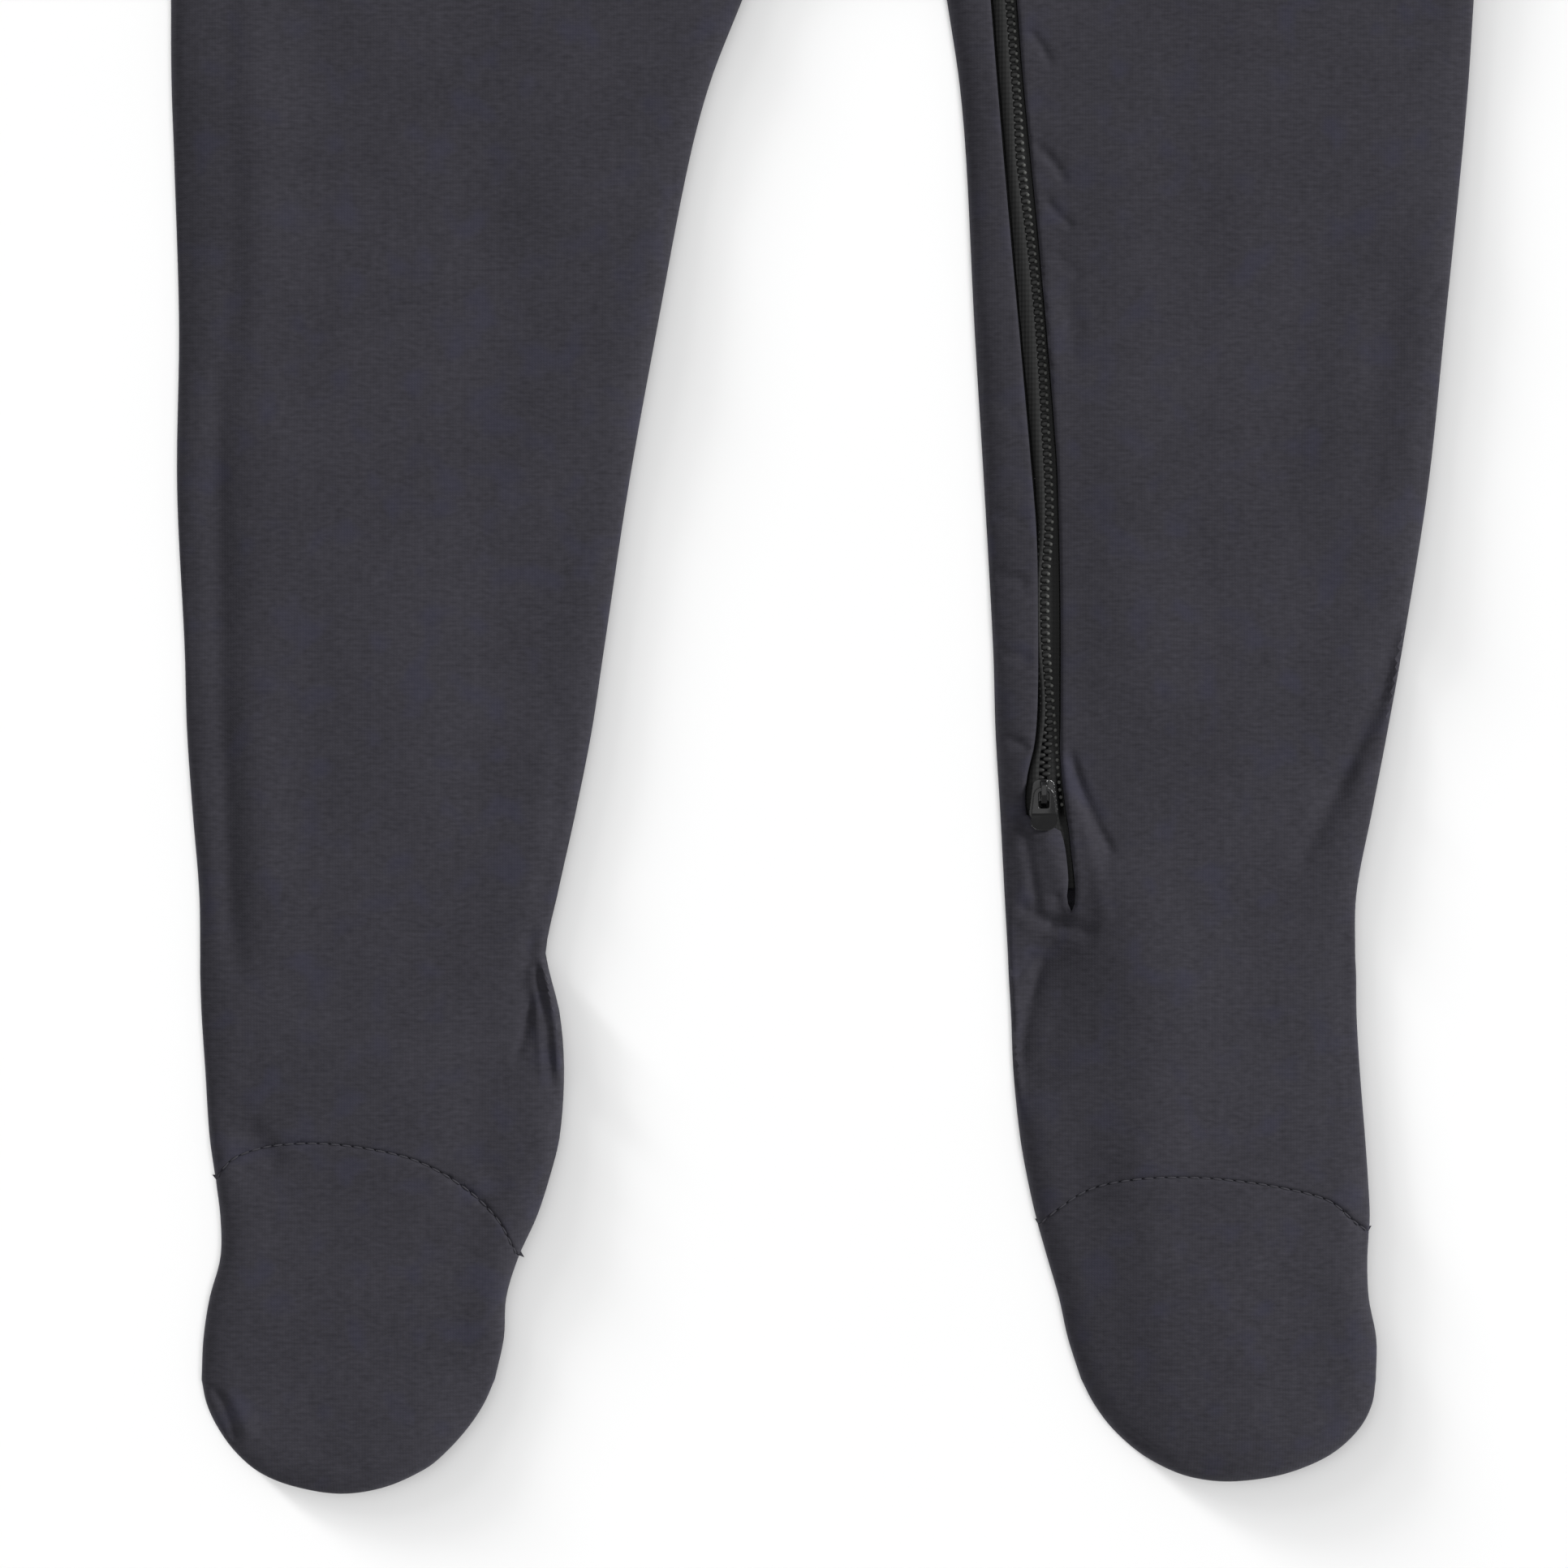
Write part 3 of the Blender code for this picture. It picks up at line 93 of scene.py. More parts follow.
CROTCH_UP = 338.0
CROTCH_X = 2.2
CROTCH_ARC_BASE = {"right": 292.0, "left": 310.0}
CROTCH_ARC_START = 317.4
ARMPIT = (134.0, 584.0)
SHOULDER_TIP = (112.0, 712.0)
NECK_SIDE = (66.0, 738.0)
NECK_FRONT_UP = 700.0
NECK_BACK_UP = 728.0
NECKBAND_HEIGHT = 14.0
NECK_FOLD_LEAN = (-0.6, 0.8)
BAND_TURN = 26.0

SLEEVE_DROP_DEG = 38.0
SLEEVE_TOP_LENGTH = 205.0
SLEEVE_WIDTH = 132.0
SLEEVE_GAP = 0.5
WRIST_WIDTH = 70.0
CUFF_WIDTH = 63.0
CUFF_LENGTH = 36.0

HEEL_SEAM_UP = 118.0
HEEL_CORNER_UP = 72.0
HEEL_BOW = 2.3

ZIP_END_UP = 123.8
TAPE_HALF = 7.5
TAPE_THICKNESS = 1.0
TAPE_FROM_SEAM = 4.6
TAPE_TOP_MARGIN = 1.0
SLIDER_X = 44.2
SLIDER_UP = 147.6
SLIDER_LENGTH = 8.6

# ---- finer sizes of the cloth
SEAM_ROLL = 0.8           # how far in from a sewn edge the cloth rolls down
SEAM_DROP = 0.5
CLOSE_GAP = 0.06          # the cloth on both sides of a seam stays this far from its line
SEAM_DEPTH = 0.34         # of a seam's thread under the cloth beside it
ON_EDGE = 0.05
SHOWN_UP = 350.0          # cloth below this height has the finer mesh
FINE_STEP = 1.7
PLAIN_STEP = 4.5
BACK_STEP = 3.0           # along the back's legs and the ends of the sleeves
NECK_STEP = 2.5           # along the neck and the cuffs
BAND_STEP = 2.2
BAND_END_STEP = 2.0
FINE_LATTICE = 2.6
PLAIN_LATTICE = 5.2
EDGE_RINGS = (0.3, 0.75, 1.4, 2.3, 3.6, 5.2)
KEEP_OFF = 6.2            # the even lattice starts this far from a panel's edge
BAND_MESH = ((0.4, 1.0, 2.0, 3.4), 4.4)      # the same two for the narrow neckband
CREASE_REACH = 2.5        # in half widths, the mesh is finer this far round a crease
FINE_CREASE = 3.3         # half width under which a crease needs the finer mesh
CREASE_LATTICE = 0.55     # least step of that finer mesh, and its step in half widths
CREASE_LATTICE_SHARE = 0.42
CREASE_MARGIN = 2.4       # a crease is whole this far from a folded edge
TROUGH_FADE = 0.3         # share of a trough's length over which each end fades
TROUGH_REACH = 3.0        # in half widths, a trough has faded out this far aside
TROUGH_UNEVEN = 0.18      # share by which a crease's depth varies along it
TROUGH_TURN = 7.0         # radians of that variation from end to end
SAME_POINT = 0.02         # outline points closer than this are one
RING_CLEAR = 0.9          # share of its distance that a row must keep from every edge
EDGE_CLEAR = 0.35         # the finer mesh keeps this far from every edge
SLIT_CLEAR = 0.5          # the neckline's points keep this far from the opening
STEEPEST = 0.3            # a seam's end moves along the edge as if it were no steeper than this
SHARP_DEG = 50.0
MIRROR = np.array([-1.0, 1.0])

# Edges of both legs at each height.
LEG_COLUMNS = ("up", "right_outer", "right_inner", "left_inner", "left_outer")
LEGS = (
    (24.3, -134.5, -72.2, 52.5, 115.1),
    (33.0, -134.1, -70.3, 49.7, 115.2),
    (41.6, -132.8, -69.8, 47.8, 113.6),
    (50.2, -130.5, -67.2, 45.3, 113.3),
    (58.8, -130.5, -63.3, 42.9, 113.8),
    (67.4, -131.6, -60.5, 41.0, 113.4),
    (76.0, -132.8, -58.4, 39.5, 112.8),
    (89.8, -133.7, -57.5, 38.1, 111.7),
    (101.9, -134.5, -58.4, 37.6, 111.0),
    (110.5, -134.8, -60.5, 37.1, 110.9),
    (115.3, -134.8, -61.4, 36.9, 110.7),
    (127.8, -135.0, -58.8, 36.2, 111.0),
    (145.0, -136.4, -55.0, 35.3, 114.3),
    (162.2, -137.6, -51.6, 34.3, 117.6),
    (179.5, -138.1, -49.0, 33.8, 120.7),
    (214.0, -139.7, -43.8, 31.9, 126.2),
    (248.4, -139.3, -37.6, 29.8, 129.8),
    (282.9, -140.3, -31.0, 28.1, 133.3),
    (300.2, -140.9, -26.4, 26.6, 134.8),
    (317.4, -141.0, -19.7, 24.0, 135.9),
)

# Side seams of the body above the legs.
SIDE_COLUMNS = ("up", "right_outer", "left_outer")
TORSO = (
    (360.0, -141.0, 138.6),
    (420.0, -137.5, 137.2),
    (480.0, -134.0, 134.0),
    (540.0, -132.6, 132.6),
    (584.0, -134.0, 134.0),
)
SIDES = tuple((row[0], row[1], row[4]) for row in LEGS) + TORSO

# Where the foot top is sewn to the front, from the wearer's right edge of the foot to its left edge.
VAMP_COLUMNS = ("across", "right_foot_up", "left_foot_up")
VAMP = (
    (0.00, 66.5, 57.2),
    (0.06, 71.2, 60.4),
    (0.17, 74.0, 65.0),
    (0.30, 74.8, 67.3),
    (0.45, 73.8, 67.8),
    (0.60, 71.2, 67.0),
    (0.75, 65.6, 65.2),
    (0.88, 58.8, 62.4),
    (0.95, 54.0, 58.0),
    (1.00, 50.5, 55.7),
)

# The opening in the front that shows the zip.
SLIT_COLUMNS = ("up", "right_edge", "left_edge")
SLIT = (
    (123.8, 50.2, 50.2),
    (125.2, 49.5, 50.8),
    (127.4, 49.2, 51.0),
    (130.0, 49.5, 50.9),
    (136.0, 49.0, 50.3),
    (139.6, 48.3, 49.9),
    (141.6, 47.4, 49.7),
    (142.4, 45.8, 49.6),
    (142.8, 43.4, 49.5),
    (143.2, 41.1, 49.4),
    (147.0, 40.1, 48.9),
    (152.6, 40.6, 48.3),
    (158.8, 42.2, 47.9),
    (168.0, 43.0, 47.9),
    (186.4, 43.1, 47.9),
    (203.6, 42.8, 47.6),
    (220.9, 41.4, 47.0),
    (265.7, 37.4, 43.3),
    (300.2, 34.4, 40.0),
    (317.4, 33.0, 38.6),
    (510.0, 16.0, 21.6),
    (716.0, -2.2, 3.4),
)

# Rounded toes, from the wearer's right end of each round to its left end.
TOE_COLUMNS = ("share", "across", "up")
TOES = {
    "right": (
        (-134.5, 24.3), (-133.4, 19.1), (-131.0, 14.0), (-127.2, 8.8), (-122.1, 4.5), (-115.0, 1.6),
        (-105.0, 0.0), (-95.6, 1.4), (-86.9, 5.3), (-82.6, 8.8), (-77.9, 14.0), (-74.5, 19.1),
        (-72.2, 24.3),
    ),
    "left": (
        (52.5, 24.3), (55.2, 19.1), (59.0, 14.0), (64.8, 8.8), (70.9, 5.3), (76.4, 3.4), (83.5, 2.6),
        (92.0, 3.4), (99.1, 5.3), (106.2, 8.8), (111.7, 14.0), (114.3, 19.1), (115.1, 24.3),
    ),
}

# The largest folds: across and up of both ends, rise (negative in a trough) and half width.
FOLDS = (
    (120.5, 184.0, 103.0, 146.0, -0.9, 5.0),
    (50.5, 160.0, 59.0, 135.0, -0.7, 5.0),
    (44.5, 116.0, 38.0, 92.0, -0.8, 4.5),
    (44.7, 164.0, 45.5, 130.0, 0.6, 9.0),
    (-132.0, 226.0, -127.0, 112.0, -0.8, 6.0),
    (-58.0, 130.0, -67.0, 92.0, -1.2, 5.0),
    (-131.0, 84.0, -122.0, 66.0, -0.9, 6.0),
    (66.0, 262.0, 112.0, 236.0, -0.4, 12.0),
    (-118.0, 300.0, -70.0, 322.0, -0.5, 11.0),
    (-20.0, 338.0, -66.0, 372.0, -0.8, 9.0),
    (26.0, 342.0, 78.0, 366.0, -0.7, 10.0),
    (-128.0, 470.0, -70.0, 448.0, -0.8, 11.0),
    (124.0, 500.0, 60.0, 470.0, -0.7, 12.0),
    (-40.0, 420.0, 30.0, 404.0, 0.4, 14.0),
    (-126.0, 578.0, -84.0, 610.0, -0.9, 8.0),
    (126.0, 580.0, 90.0, 618.0, -0.9, 8.0),
    (-60.0, 560.0, -30.0, 470.0, 0.4, 14.0),
    (70.0, 640.0, 62.0, 540.0, 0.4, 13.0),
    (-168.0, 596.0, -196.0, 646.0, -0.8, 8.0),
    (166.0, 594.0, 200.0, 640.0, -0.8, 8.0),
    (-208.0, 566.0, -232.0, 586.0, -0.7, 6.0),
    (210.0, 560.0, 228.0, 588.0, -0.7, 6.0),
)

# Short creases: across and up of both ends, bow, rise and half width. The bow is how far the middle
# of a crease stands off the straight line between its ends.
CREASES = (
    # left leg: outer ankle, zip end and the raised strip below the slider
    (124.5, 191.0, 98.5, 134.0, 1.2, -1.15, 2.1),
    (121.0, 188.0, 106.0, 146.0, 0.0, -0.70, 5.0),
    (126.0, 180.0, 110.0, 150.0, 0.6, 0.40, 2.4),
    (49.9, 157.5, 58.6, 136.5, -0.8, -0.95, 1.15),
    (50.6, 148.0, 56.8, 122.0, 0.9, 0.45, 1.8),
    (44.4, 142.0, 49.0, 123.5, 0.2, 0.60, 2.0),
    (39.6, 144.0, 43.0, 123.5, 0.2, -0.80, 1.3),
    (46.8, 127.6, 49.0, 120.5, 0.3, -0.95, 1.6),
    (39.6, 125.2, 47.0, 121.0, -0.4, -1.00, 1.6),
    (46.0, 121.6, 55.0, 119.6, -0.4, -0.80, 1.6),
    (45.0, 121.0, 41.5, 84.0, 1.0, -1.60, 6.0),
    (62.0, 124.0, 60.0, 90.0, 0.0, 0.50, 8.0),
    (44.2, 113.5, 39.0, 91.5, -0.5, -0.85, 1.3),
    (47.6, 112.0, 43.0, 90.0, -0.6, 0.35, 2.2),
    (42.4, 114.6, 38.2, 110.0, 0.2, -0.55, 1.0),
    (41.6, 108.8, 38.4, 104.2, 0.2, -0.40, 1.0),
    # left leg: puckers beside the zip
    (34.8, 160.8, 41.0, 158.4, 0.4, -0.60, 1.2),
    (34.4, 179.2, 41.4, 177.6, -0.4, -0.45, 1.5),
    (33.4, 195.0, 40.6, 193.2, 0.5, -0.50, 1.6),
    (33.0, 208.6, 40.0, 206.4, -0.3, -0.32, 1.8),
    (31.6, 233.0, 38.2, 229.4, 0.4, -0.30, 2.0),
    (41.4, 310.4, 45.8, 303.4, 0.3, -0.50, 1.0),
    (42.4, 286.6, 49.0, 278.4, 0.5, -0.60, 1.15),
    (45.0, 274.6, 50.0, 269.0, -0.3, -0.50, 1.0),
    (46.6, 263.0, 52.0, 257.0, 0.3, -0.32, 1.4),
    (48.4, 258.0, 50.4, 239.0, 0.6, -0.50, 2.4),
    # left leg: soft hollows by the outer seam
    (118.0, 262.0, 112.0, 212.0, 1.5, -0.80, 5.0),
    (106.0, 248.0, 101.0, 206.0, 1.0, 0.45, 6.0),
    (129.6, 258.6, 124.0, 252.0, 0.3, -0.45, 1.3),
    (127.6, 229.0, 123.0, 221.6, 0.3, -0.40, 1.4),
    (76.0, 232.0, 92.0, 176.0, 3.0, 0.35, 9.0),
    # right leg: the long fold by the outer seam, slow hollows and the heel
    (-130.4, 236.0, -127.0, 112.0, -1.4, -0.60, 2.3),
    (-124.0, 206.0, -121.0, 130.0, -1.0, 0.30, 3.6),
    (-128.6, 322.0, -129.0, 228.0, 1.6, -0.55, 3.2),
    (-97.0, 280.0, -98.0, 198.0, 2.6, -0.45, 9.0),
    (-79.0, 190.0, -86.0, 132.0, -2.0, 0.35, 9.0),
    (-64.4, 105.8, -67.8, 92.4, 0.4, -1.05, 1.3),
    (-65.6, 100.0, -69.4, 91.0, 0.4, 0.30, 1.5),
    (-64.0, 119.6, -67.4, 107.0, 0.6, -0.60, 1.5),
    (-63.0, 112.6, -60.6, 92.0, -0.2, -0.45, 1.1),
    (-64.3, 112.0, -62.0, 88.0, 0.5, 0.45, 1.0),
    (-57.4, 166.0, -62.0, 124.0, 0.6, -0.50, 2.2),
    (-74.0, 67.6, -63.4, 74.6, -1.2, -0.55, 3.0),
    (-126.0, 78.6, -117.6, 70.2, 0.8, -0.80, 2.8),
    # legs: long soft ridges and hollows down their length
    (-104.0, 330.0, -103.0, 120.0, 3.0, 0.50, 13.0),
    (-70.0, 330.0, -74.0, 120.0, -3.0, -0.55, 11.0),
    (82.0, 335.0, 78.0, 120.0, 3.0, 0.50, 13.0),
    (112.0, 300.0, 98.0, 130.0, -3.0, -0.50, 9.0),
    (88.0, 62.0, 88.0, 12.0, -1.0, 0.90, 17.0),
    (-106.0, 100.0, -104.0, 40.0, 1.0, 0.40, 15.0),
    (78.0, 112.0, 80.0, 76.0, 1.0, 0.40, 13.0),
    (-125.0, 330.0, -121.5, 106.0, 1.0, 1.40, 9.0),
    (-90.0, 312.0, -86.0, 256.0, 1.0, 0.30, 9.0),
    (-46.0, 170.0, -53.0, 108.0, 1.0, 0.60, 7.0),
    (-17.0, 316.0, -24.0, 262.0, 1.0, 0.50, 7.0),
    (60.0, 306.0, 62.0, 150.0, 1.0, 1.20, 11.0),
    (63.0, 136.0, 68.0, 66.0, 1.0, 1.90, 11.0),
    (60.5, 84.0, 71.0, 12.0, 1.0, 1.50, 9.0),
    (80.0, 70.0, 86.0, 12.0, 1.0, 1.00, 12.0),
    (-124.0, 172.0, -121.0, 112.0, 0.0, 0.60, 6.0),
    (-73.0, 104.0, -79.0, 16.0, -1.0, -1.00, 6.5),
    (107.0, 124.0, 107.0, 70.0, 0.0, -0.80, 5.5),
    (119.0, 182.0, 113.0, 156.0, 1.0, -0.60, 4.0),
    (104.0, 300.0, 98.0, 196.0, -2.0, -0.45, 10.0),
    # feet
    (-131.2, 22.6, -126.8, 12.0, 0.6, -0.90, 1.3),
    (-127.0, 20.0, -123.8, 12.4, 0.4, 0.35, 1.6),
    (-109.0, 8.4, -99.4, 4.6, 0.4, -0.35, 2.4),
    (-93.0, 34.0, -88.0, 26.0, 0.8, -0.25, 6.0),
    (109.6, 57.8, 113.4, 55.4, 0.2, -0.60, 1.2),
    (60.0, 15.4, 71.2, 8.3, -0.7, -0.45, 0.7),
    (76.0, 6.0, 93.0, 5.6, -0.3, -0.45, 0.7),
    # body, hidden half
    (-12.0, 352.0, -44.0, 398.0, 3.0, -0.50, 3.2),
    (-30.0, 350.0, -88.0, 366.0, -3.0, -0.45, 3.0),
    (10.0, 356.0, 58.0, 392.0, -3.0, -0.50, 3.2),
    (-130.0, 430.0, -96.0, 420.0, 1.0, -0.35, 3.4),
    (-131.0, 500.0, -84.0, 486.0, 2.0, -0.45, 3.6),
    (130.0, 520.0, 92.0, 512.0, -1.6, -0.40, 3.2),
    (128.0, 444.0, 84.0, 430.0, 2.0, -0.40, 3.6),
    (-20.0, 520.0, 6.0, 500.0, 1.6, -0.35, 3.0),
    (40.0, 560.0, 66.0, 530.0, -2.0, -0.35, 3.4),
    (-120.0, 598.0, -92.0, 584.0, 1.6, -0.45, 2.8),
    (118.0, 606.0, 88.0, 588.0, 1.4, -0.45, 2.8),
    (-96.0, 690.0, -60.0, 664.0, 1.8, -0.35, 3.2),
    (88.0, 684.0, 58.0, 652.0, -1.6, -0.35, 3.2),
    (24.0, 470.0, 34.0, 446.0, 1.0, -0.30, 2.4),
    (8.0, 620.0, 20.0, 596.0, 1.0, -0.30, 2.4),
    # sleeves
    (-150.0, 594.0, -176.0, 622.0, 2.0, -0.50, 3.0),
    (148.0, 594.0, 178.0, 618.0, -2.0, -0.50, 3.0),
    (-186.0, 574.0, -214.0, 606.0, 1.6, -0.45, 3.0),
    (188.0, 570.0, 210.0, 606.0, -2.0, -0.45, 3.0),
    (-232.0, 556.0, -252.0, 572.0, 1.0, -0.40, 2.2),
    (236.0, 552.0, 252.0, 574.0, -1.0, -0.40, 2.2),
    (-130.0, 650.0, -158.0, 664.0, 1.4, -0.35, 3.4),
    (132.0, 640.0, 160.0, 660.0, -1.4, -0.35, 3.4),
)

# The right foot's heel, swollen along its edge, in the same order as a crease.
HEEL_RIM = (-61.9, 113.0, -58.3, 88.0, 0.9, 1.7, 1.15)
HEEL_RIM_ROUND = 0.4

# Slow unevenness of cloth that lies loosely: heading, wave length, height and phase.
WAVES = (
    (12.0, 71.0, 0.26, 0.4),
    (98.0, 83.0, 0.20, 2.1),
    (37.0, 47.0, 0.15, 4.4),
    (151.0, 39.0, 0.10, 1.2),
    (74.0, 23.0, 0.035, 3.0),
)

# Hollows in the cloth that rests on the surface, in the same order as a crease.
UNDER_HOLLOWS = (
    (-128.0, 250.0, -90.0, 230.0, 3.0, 0.30, 4.0),
    (40.0, 240.0, 96.0, 262.0, -3.0, 0.30, 4.0),
    (-110.0, 150.0, -76.0, 136.0, 2.0, 0.30, 3.4),
    (60.0, 150.0, 100.0, 132.0, 2.0, 0.30, 3.4),
    (-100.0, 380.0, -30.0, 352.0, 4.0, 0.35, 5.0),
    (20.0, 354.0, 96.0, 388.0, 4.0, 0.35, 5.0),
    (-116.0, 480.0, -40.0, 462.0, -4.0, 0.30, 5.0),
    (30.0, 500.0, 110.0, 478.0, 4.0, 0.30, 5.0),
    (-100.0, 600.0, -50.0, 566.0, 3.0, 0.30, 4.4),
    (46.0, 580.0, 104.0, 606.0, 3.0, 0.30, 4.4),
    (-60.0, 690.0, 30.0, 676.0, 3.0, 0.25, 5.0),
    (-160.0, 600.0, -190.0, 640.0, 2.0, 0.30, 4.0),
    (162.0, 598.0, 192.0, 640.0, 2.0, 0.30, 4.0),
)


# ---- settings
def colour_setting(name, description, default):
    return bpy.props.FloatVectorProperty(
        name=name, description=description, subtype="COLOR", size=3, default=default, min=0.0, max=1.0)


def length_setting(name, description, default, **limits):
    return bpy.props.FloatProperty(
        name=name, description=description, default=default, unit="LENGTH", **limits)


def amount_setting(name, description, default):
    return bpy.props.FloatProperty(name=name, description=description, default=default, min=0.0)


class SleeperCloth(bpy.types.PropertyGroup):
    """The jersey"""

    colour: colour_setting("Cloth colour", "Base colour of the jersey", (0.0275, 0.0262, 0.0330))
    heather: colour_setting("Heather colour", "Colour of the lighter fibres", (0.0520, 0.0498, 0.0620))
    cool: colour_setting("Cool colour", "Colour of the bluer patches", (0.0400, 0.0395, 0.0680))
    wale: length_setting("Wale", "Width of one column of knit stitches", 0.00062, min=0.0001)
    knit_depth: length_setting("Knit depth", "Relief of the knit", 0.00004, min=0.0)
    crease_depth: amount_setting("Crease depth", "Multiplies every short crease", 1.0)


class SleeperZip(bpy.types.PropertyGroup):
    """The zip"""

    pitch: length_setting("Loop pitch", "Distance from one coil loop to the next", 0.00158, min=0.0005)
    row_offset: length_setting("Row offset", "Distance of each row of loops from the zip's middle", 0.00066)
    tape_colour: colour_setting("Tape colour", "Colour of the woven tape", (0.0150, 0.0152, 0.0152))
    coil_colour: colour_setting("Coil colour", "Colour of the nylon coil", (0.0085, 0.0087, 0.0084))
    # Painted highlights: the bright beads beside the coil stand in for the highlights on the heads of its
    # loops.
    bead_highlight_colour: colour_setting(
        "Bead highlight colour", "Colour of the bright beads, painted highlights on the coil's loops", (0.115, 0.117, 0.110))
    metal_colour: colour_setting("Lacquer colour", "Colour of the slider's lacquer", (0.0105, 0.0105, 0.011))
    cast_grain: length_setting(
        "Cast grain", "Mesh size of the slider and the pull, half as round as their edges", 0.00011,
        min=0.00005)


class SleeperStudio(bpy.types.PropertyGroup):
    """The surface, the lights and the camera"""

    view_width: length_setting(
        "View width", "Width of the surface that the camera takes in", 0.3331, min=0.01)
    centre_x: length_setting("Centre across", "Middle of the view", -0.0107)
    centre_up: length_setting("Centre up", "Middle of the view above the right toe", 0.15086)
    lens: bpy.props.FloatProperty(
        name="Lens", description="Focal length", default=100.0, min=1.0, unit="CAMERA")
    sky: amount_setting("Sky", "Strength of the even light", 0.26)
    surface_low: amount_setting("Surface low", "Strength of the low light on the surface", 2.2)
    surface_slant: amount_setting("Surface slant", "Strength of the slanting light on the surface", 1.2)
    surface_side: amount_setting("Surface side", "Strength of the wide light on the surface", 1.0)
    surface_top: amount_setting("Surface top", "Strength of the high light on the surface", 1.28)
    cloth_side: amount_setting("Cloth side", "Strength of the side light on the garment", 2.62)
    cloth_top: amount_setting("Cloth top", "Strength of the high light on the garment", 0.6)
    glint: amount_setting("Glint", "Strength of the small light that the metal mirrors", 2.0)


# ---- curves
def mix(a, b, share):
    return a + (b - a) * share


def smooth_step(value):
    value = np.clip(value, 0.0, 1.0)
    return value * value * (3.0 - 2.0 * value)


def along(table, names, name, at):
    """Smooth reading of one column of a table at a value of its first column."""
    keys = [row[0] for row in table]
    values = [row[names.index(name)] for row in table]
    at = min(max(at, keys[0]), keys[-1])
    last = len(keys) - 1
    here = next(i for i in range(last) if at <= keys[i + 1])

    def slope(i):
        low, high = max(i - 1, 0), min(i + 1, last)
        return (values[high] - values[low]) / (keys[high] - keys[low])

    span = keys[here + 1] - keys[here]
    s = (at - keys[here]) / span
    value = (2 * s**3 - 3 * s**2 + 1) * values[here] + (s**3 - 2 * s**2 + s) * span * slope(here)
    return value + (3 * s**2 - 2 * s**3) * values[here + 1] + (s**3 - s**2) * span * slope(here + 1)


def curve(a, b, c, d, count=60):
    """Points on a cubic curve from a to d, with b and c as its handles."""
    a, b, c, d = (np.array(point, float) for point in (a, b, c, d))
    shares = [(share, 1.0 - share) for share in np.linspace(0.0, 1.0, count)]
    return [tuple(r**3 * a + 3 * r**2 * s * b + 3 * r * s**2 * c + s**3 * d) for s, r in shares]


def resample(points, shares):
    """Points at the given shares of a polyline's length."""
    points = np.array(points, float)
    steps = np.concatenate([[0.0], np.cumsum(np.linalg.norm(np.diff(points, axis=0), axis=1))])
    steps /= steps[-1]
    return np.column_stack([np.interp(shares, steps, points[:, axis]) for axis in (0, 1)])


def spaced(points, step):
    """A polyline's points again, evenly spaced."""
    whole = np.linalg.norm(np.diff(np.array(points, float), axis=0), axis=1).sum()
    return resample(points, np.linspace(0.0, 1.0, max(2, round(whole / step) + 1)))


def listed(points, step):
    """The same as a list of pairs."""
    return [tuple(point) for point in spaced(points, step)]


def mirrored(points):
    return [(-x, up) for x, up in points]


# ---- outline of the garment
def outer_edge(side, up):
    return along(SIDES, SIDE_COLUMNS, side + "_outer", up)


def inner_edge(side, up):
    """Inner leg seam, which the crotch oval rounds off."""
    name = side + "_inner"
    if up <= CROTCH_ARC_START:
        return along(LEGS, LEG_COLUMNS, name, up)

    base = CROTCH_ARC_BASE[side]

    def oval(height):
        share = (height - base) / (CROTCH_UP - base)
        return math.sqrt(max(0.0, 1.0 - share * share))

    start = along(LEGS, LEG_COLUMNS, name, CROTCH_ARC_START) - CROTCH_X
    return CROTCH_X + start * oval(up) / oval(CROTCH_ARC_START)


def edge(side, part, up):
    return outer_edge(side, up) if part == "outer" else inner_edge(side, up)


def edge_run(side, part, start, end, step=FINE_STEP):
    """Points on an edge between two heights, both included."""
    count = max(2, int(abs(end - start) / step) + 1)
    return [(edge(side, part, up), up) for up in np.linspace(start, end, count)]


def crotch_arc(side, count=40):
    """Half of the oval over the crotch, from the inner leg seam to its top."""
    base = CROTCH_ARC_BASE[side]
    first = math.asin((CROTCH_ARC_START - base) / (CROTCH_UP - base))
    ups = [base + (CROTCH_UP - base) * math.sin(angle) for angle in np.linspace(first, math.pi / 2, count)]
    return [(inner_edge(side, up), up) for up in ups]


def toe_round(side, count=90):
    """Even points on the round toe, from the wearer's right end of the round to its left end."""
    points = np.array(TOES[side])
    steps = np.linalg.norm(np.diff(points, axis=0), axis=1)
    run = np.concatenate([[0.0], np.cumsum(steps)]) / steps.sum()
    table = [(share, x, up) for share, (x, up) in zip(run, points)]
    shares = np.linspace(0.0, 1.0, count)
    return [tuple(along(table, TOE_COLUMNS, name, share) for name in TOE_COLUMNS[1:]) for share in shares]


def toe_base(side):
    """Height at which the toe's round starts."""
    return TOES[side][0][1]


def armhole():
    """Left armhole, from the armpit to the shoulder tip."""
    return curve(ARMPIT, (119.0, 614.0), (103.0, 664.0), SHOULDER_TIP)


def front_neckline():
    """Left half of the front neckline, from the side of the neck to the middle."""
    return curve(NECK_SIDE, (55.0, 716.0), (34.0, NECK_FRONT_UP), (0.0, NECK_FRONT_UP), 120)


def back_neckline():
    """Left half of the back neckline, from the side of the neck to the middle."""
    return curve(NECK_SIDE, (52.0, 731.5), (28.0, NECK_BACK_UP), (0.0, NECK_BACK_UP))


def sleeve_corners():
    """Wrist corners of the left sleeve, and the directions along and across it."""
    drop = math.radians(SLEEVE_DROP_DEG)
    down = np.array([math.cos(drop), -math.sin(drop)])
    across = np.array([-math.sin(drop), -math.cos(drop)])
    top = np.array(SHOULDER_TIP) + down * SLEEVE_TOP_LENGTH
    return top, top + across * WRIST_WIDTH, down, across


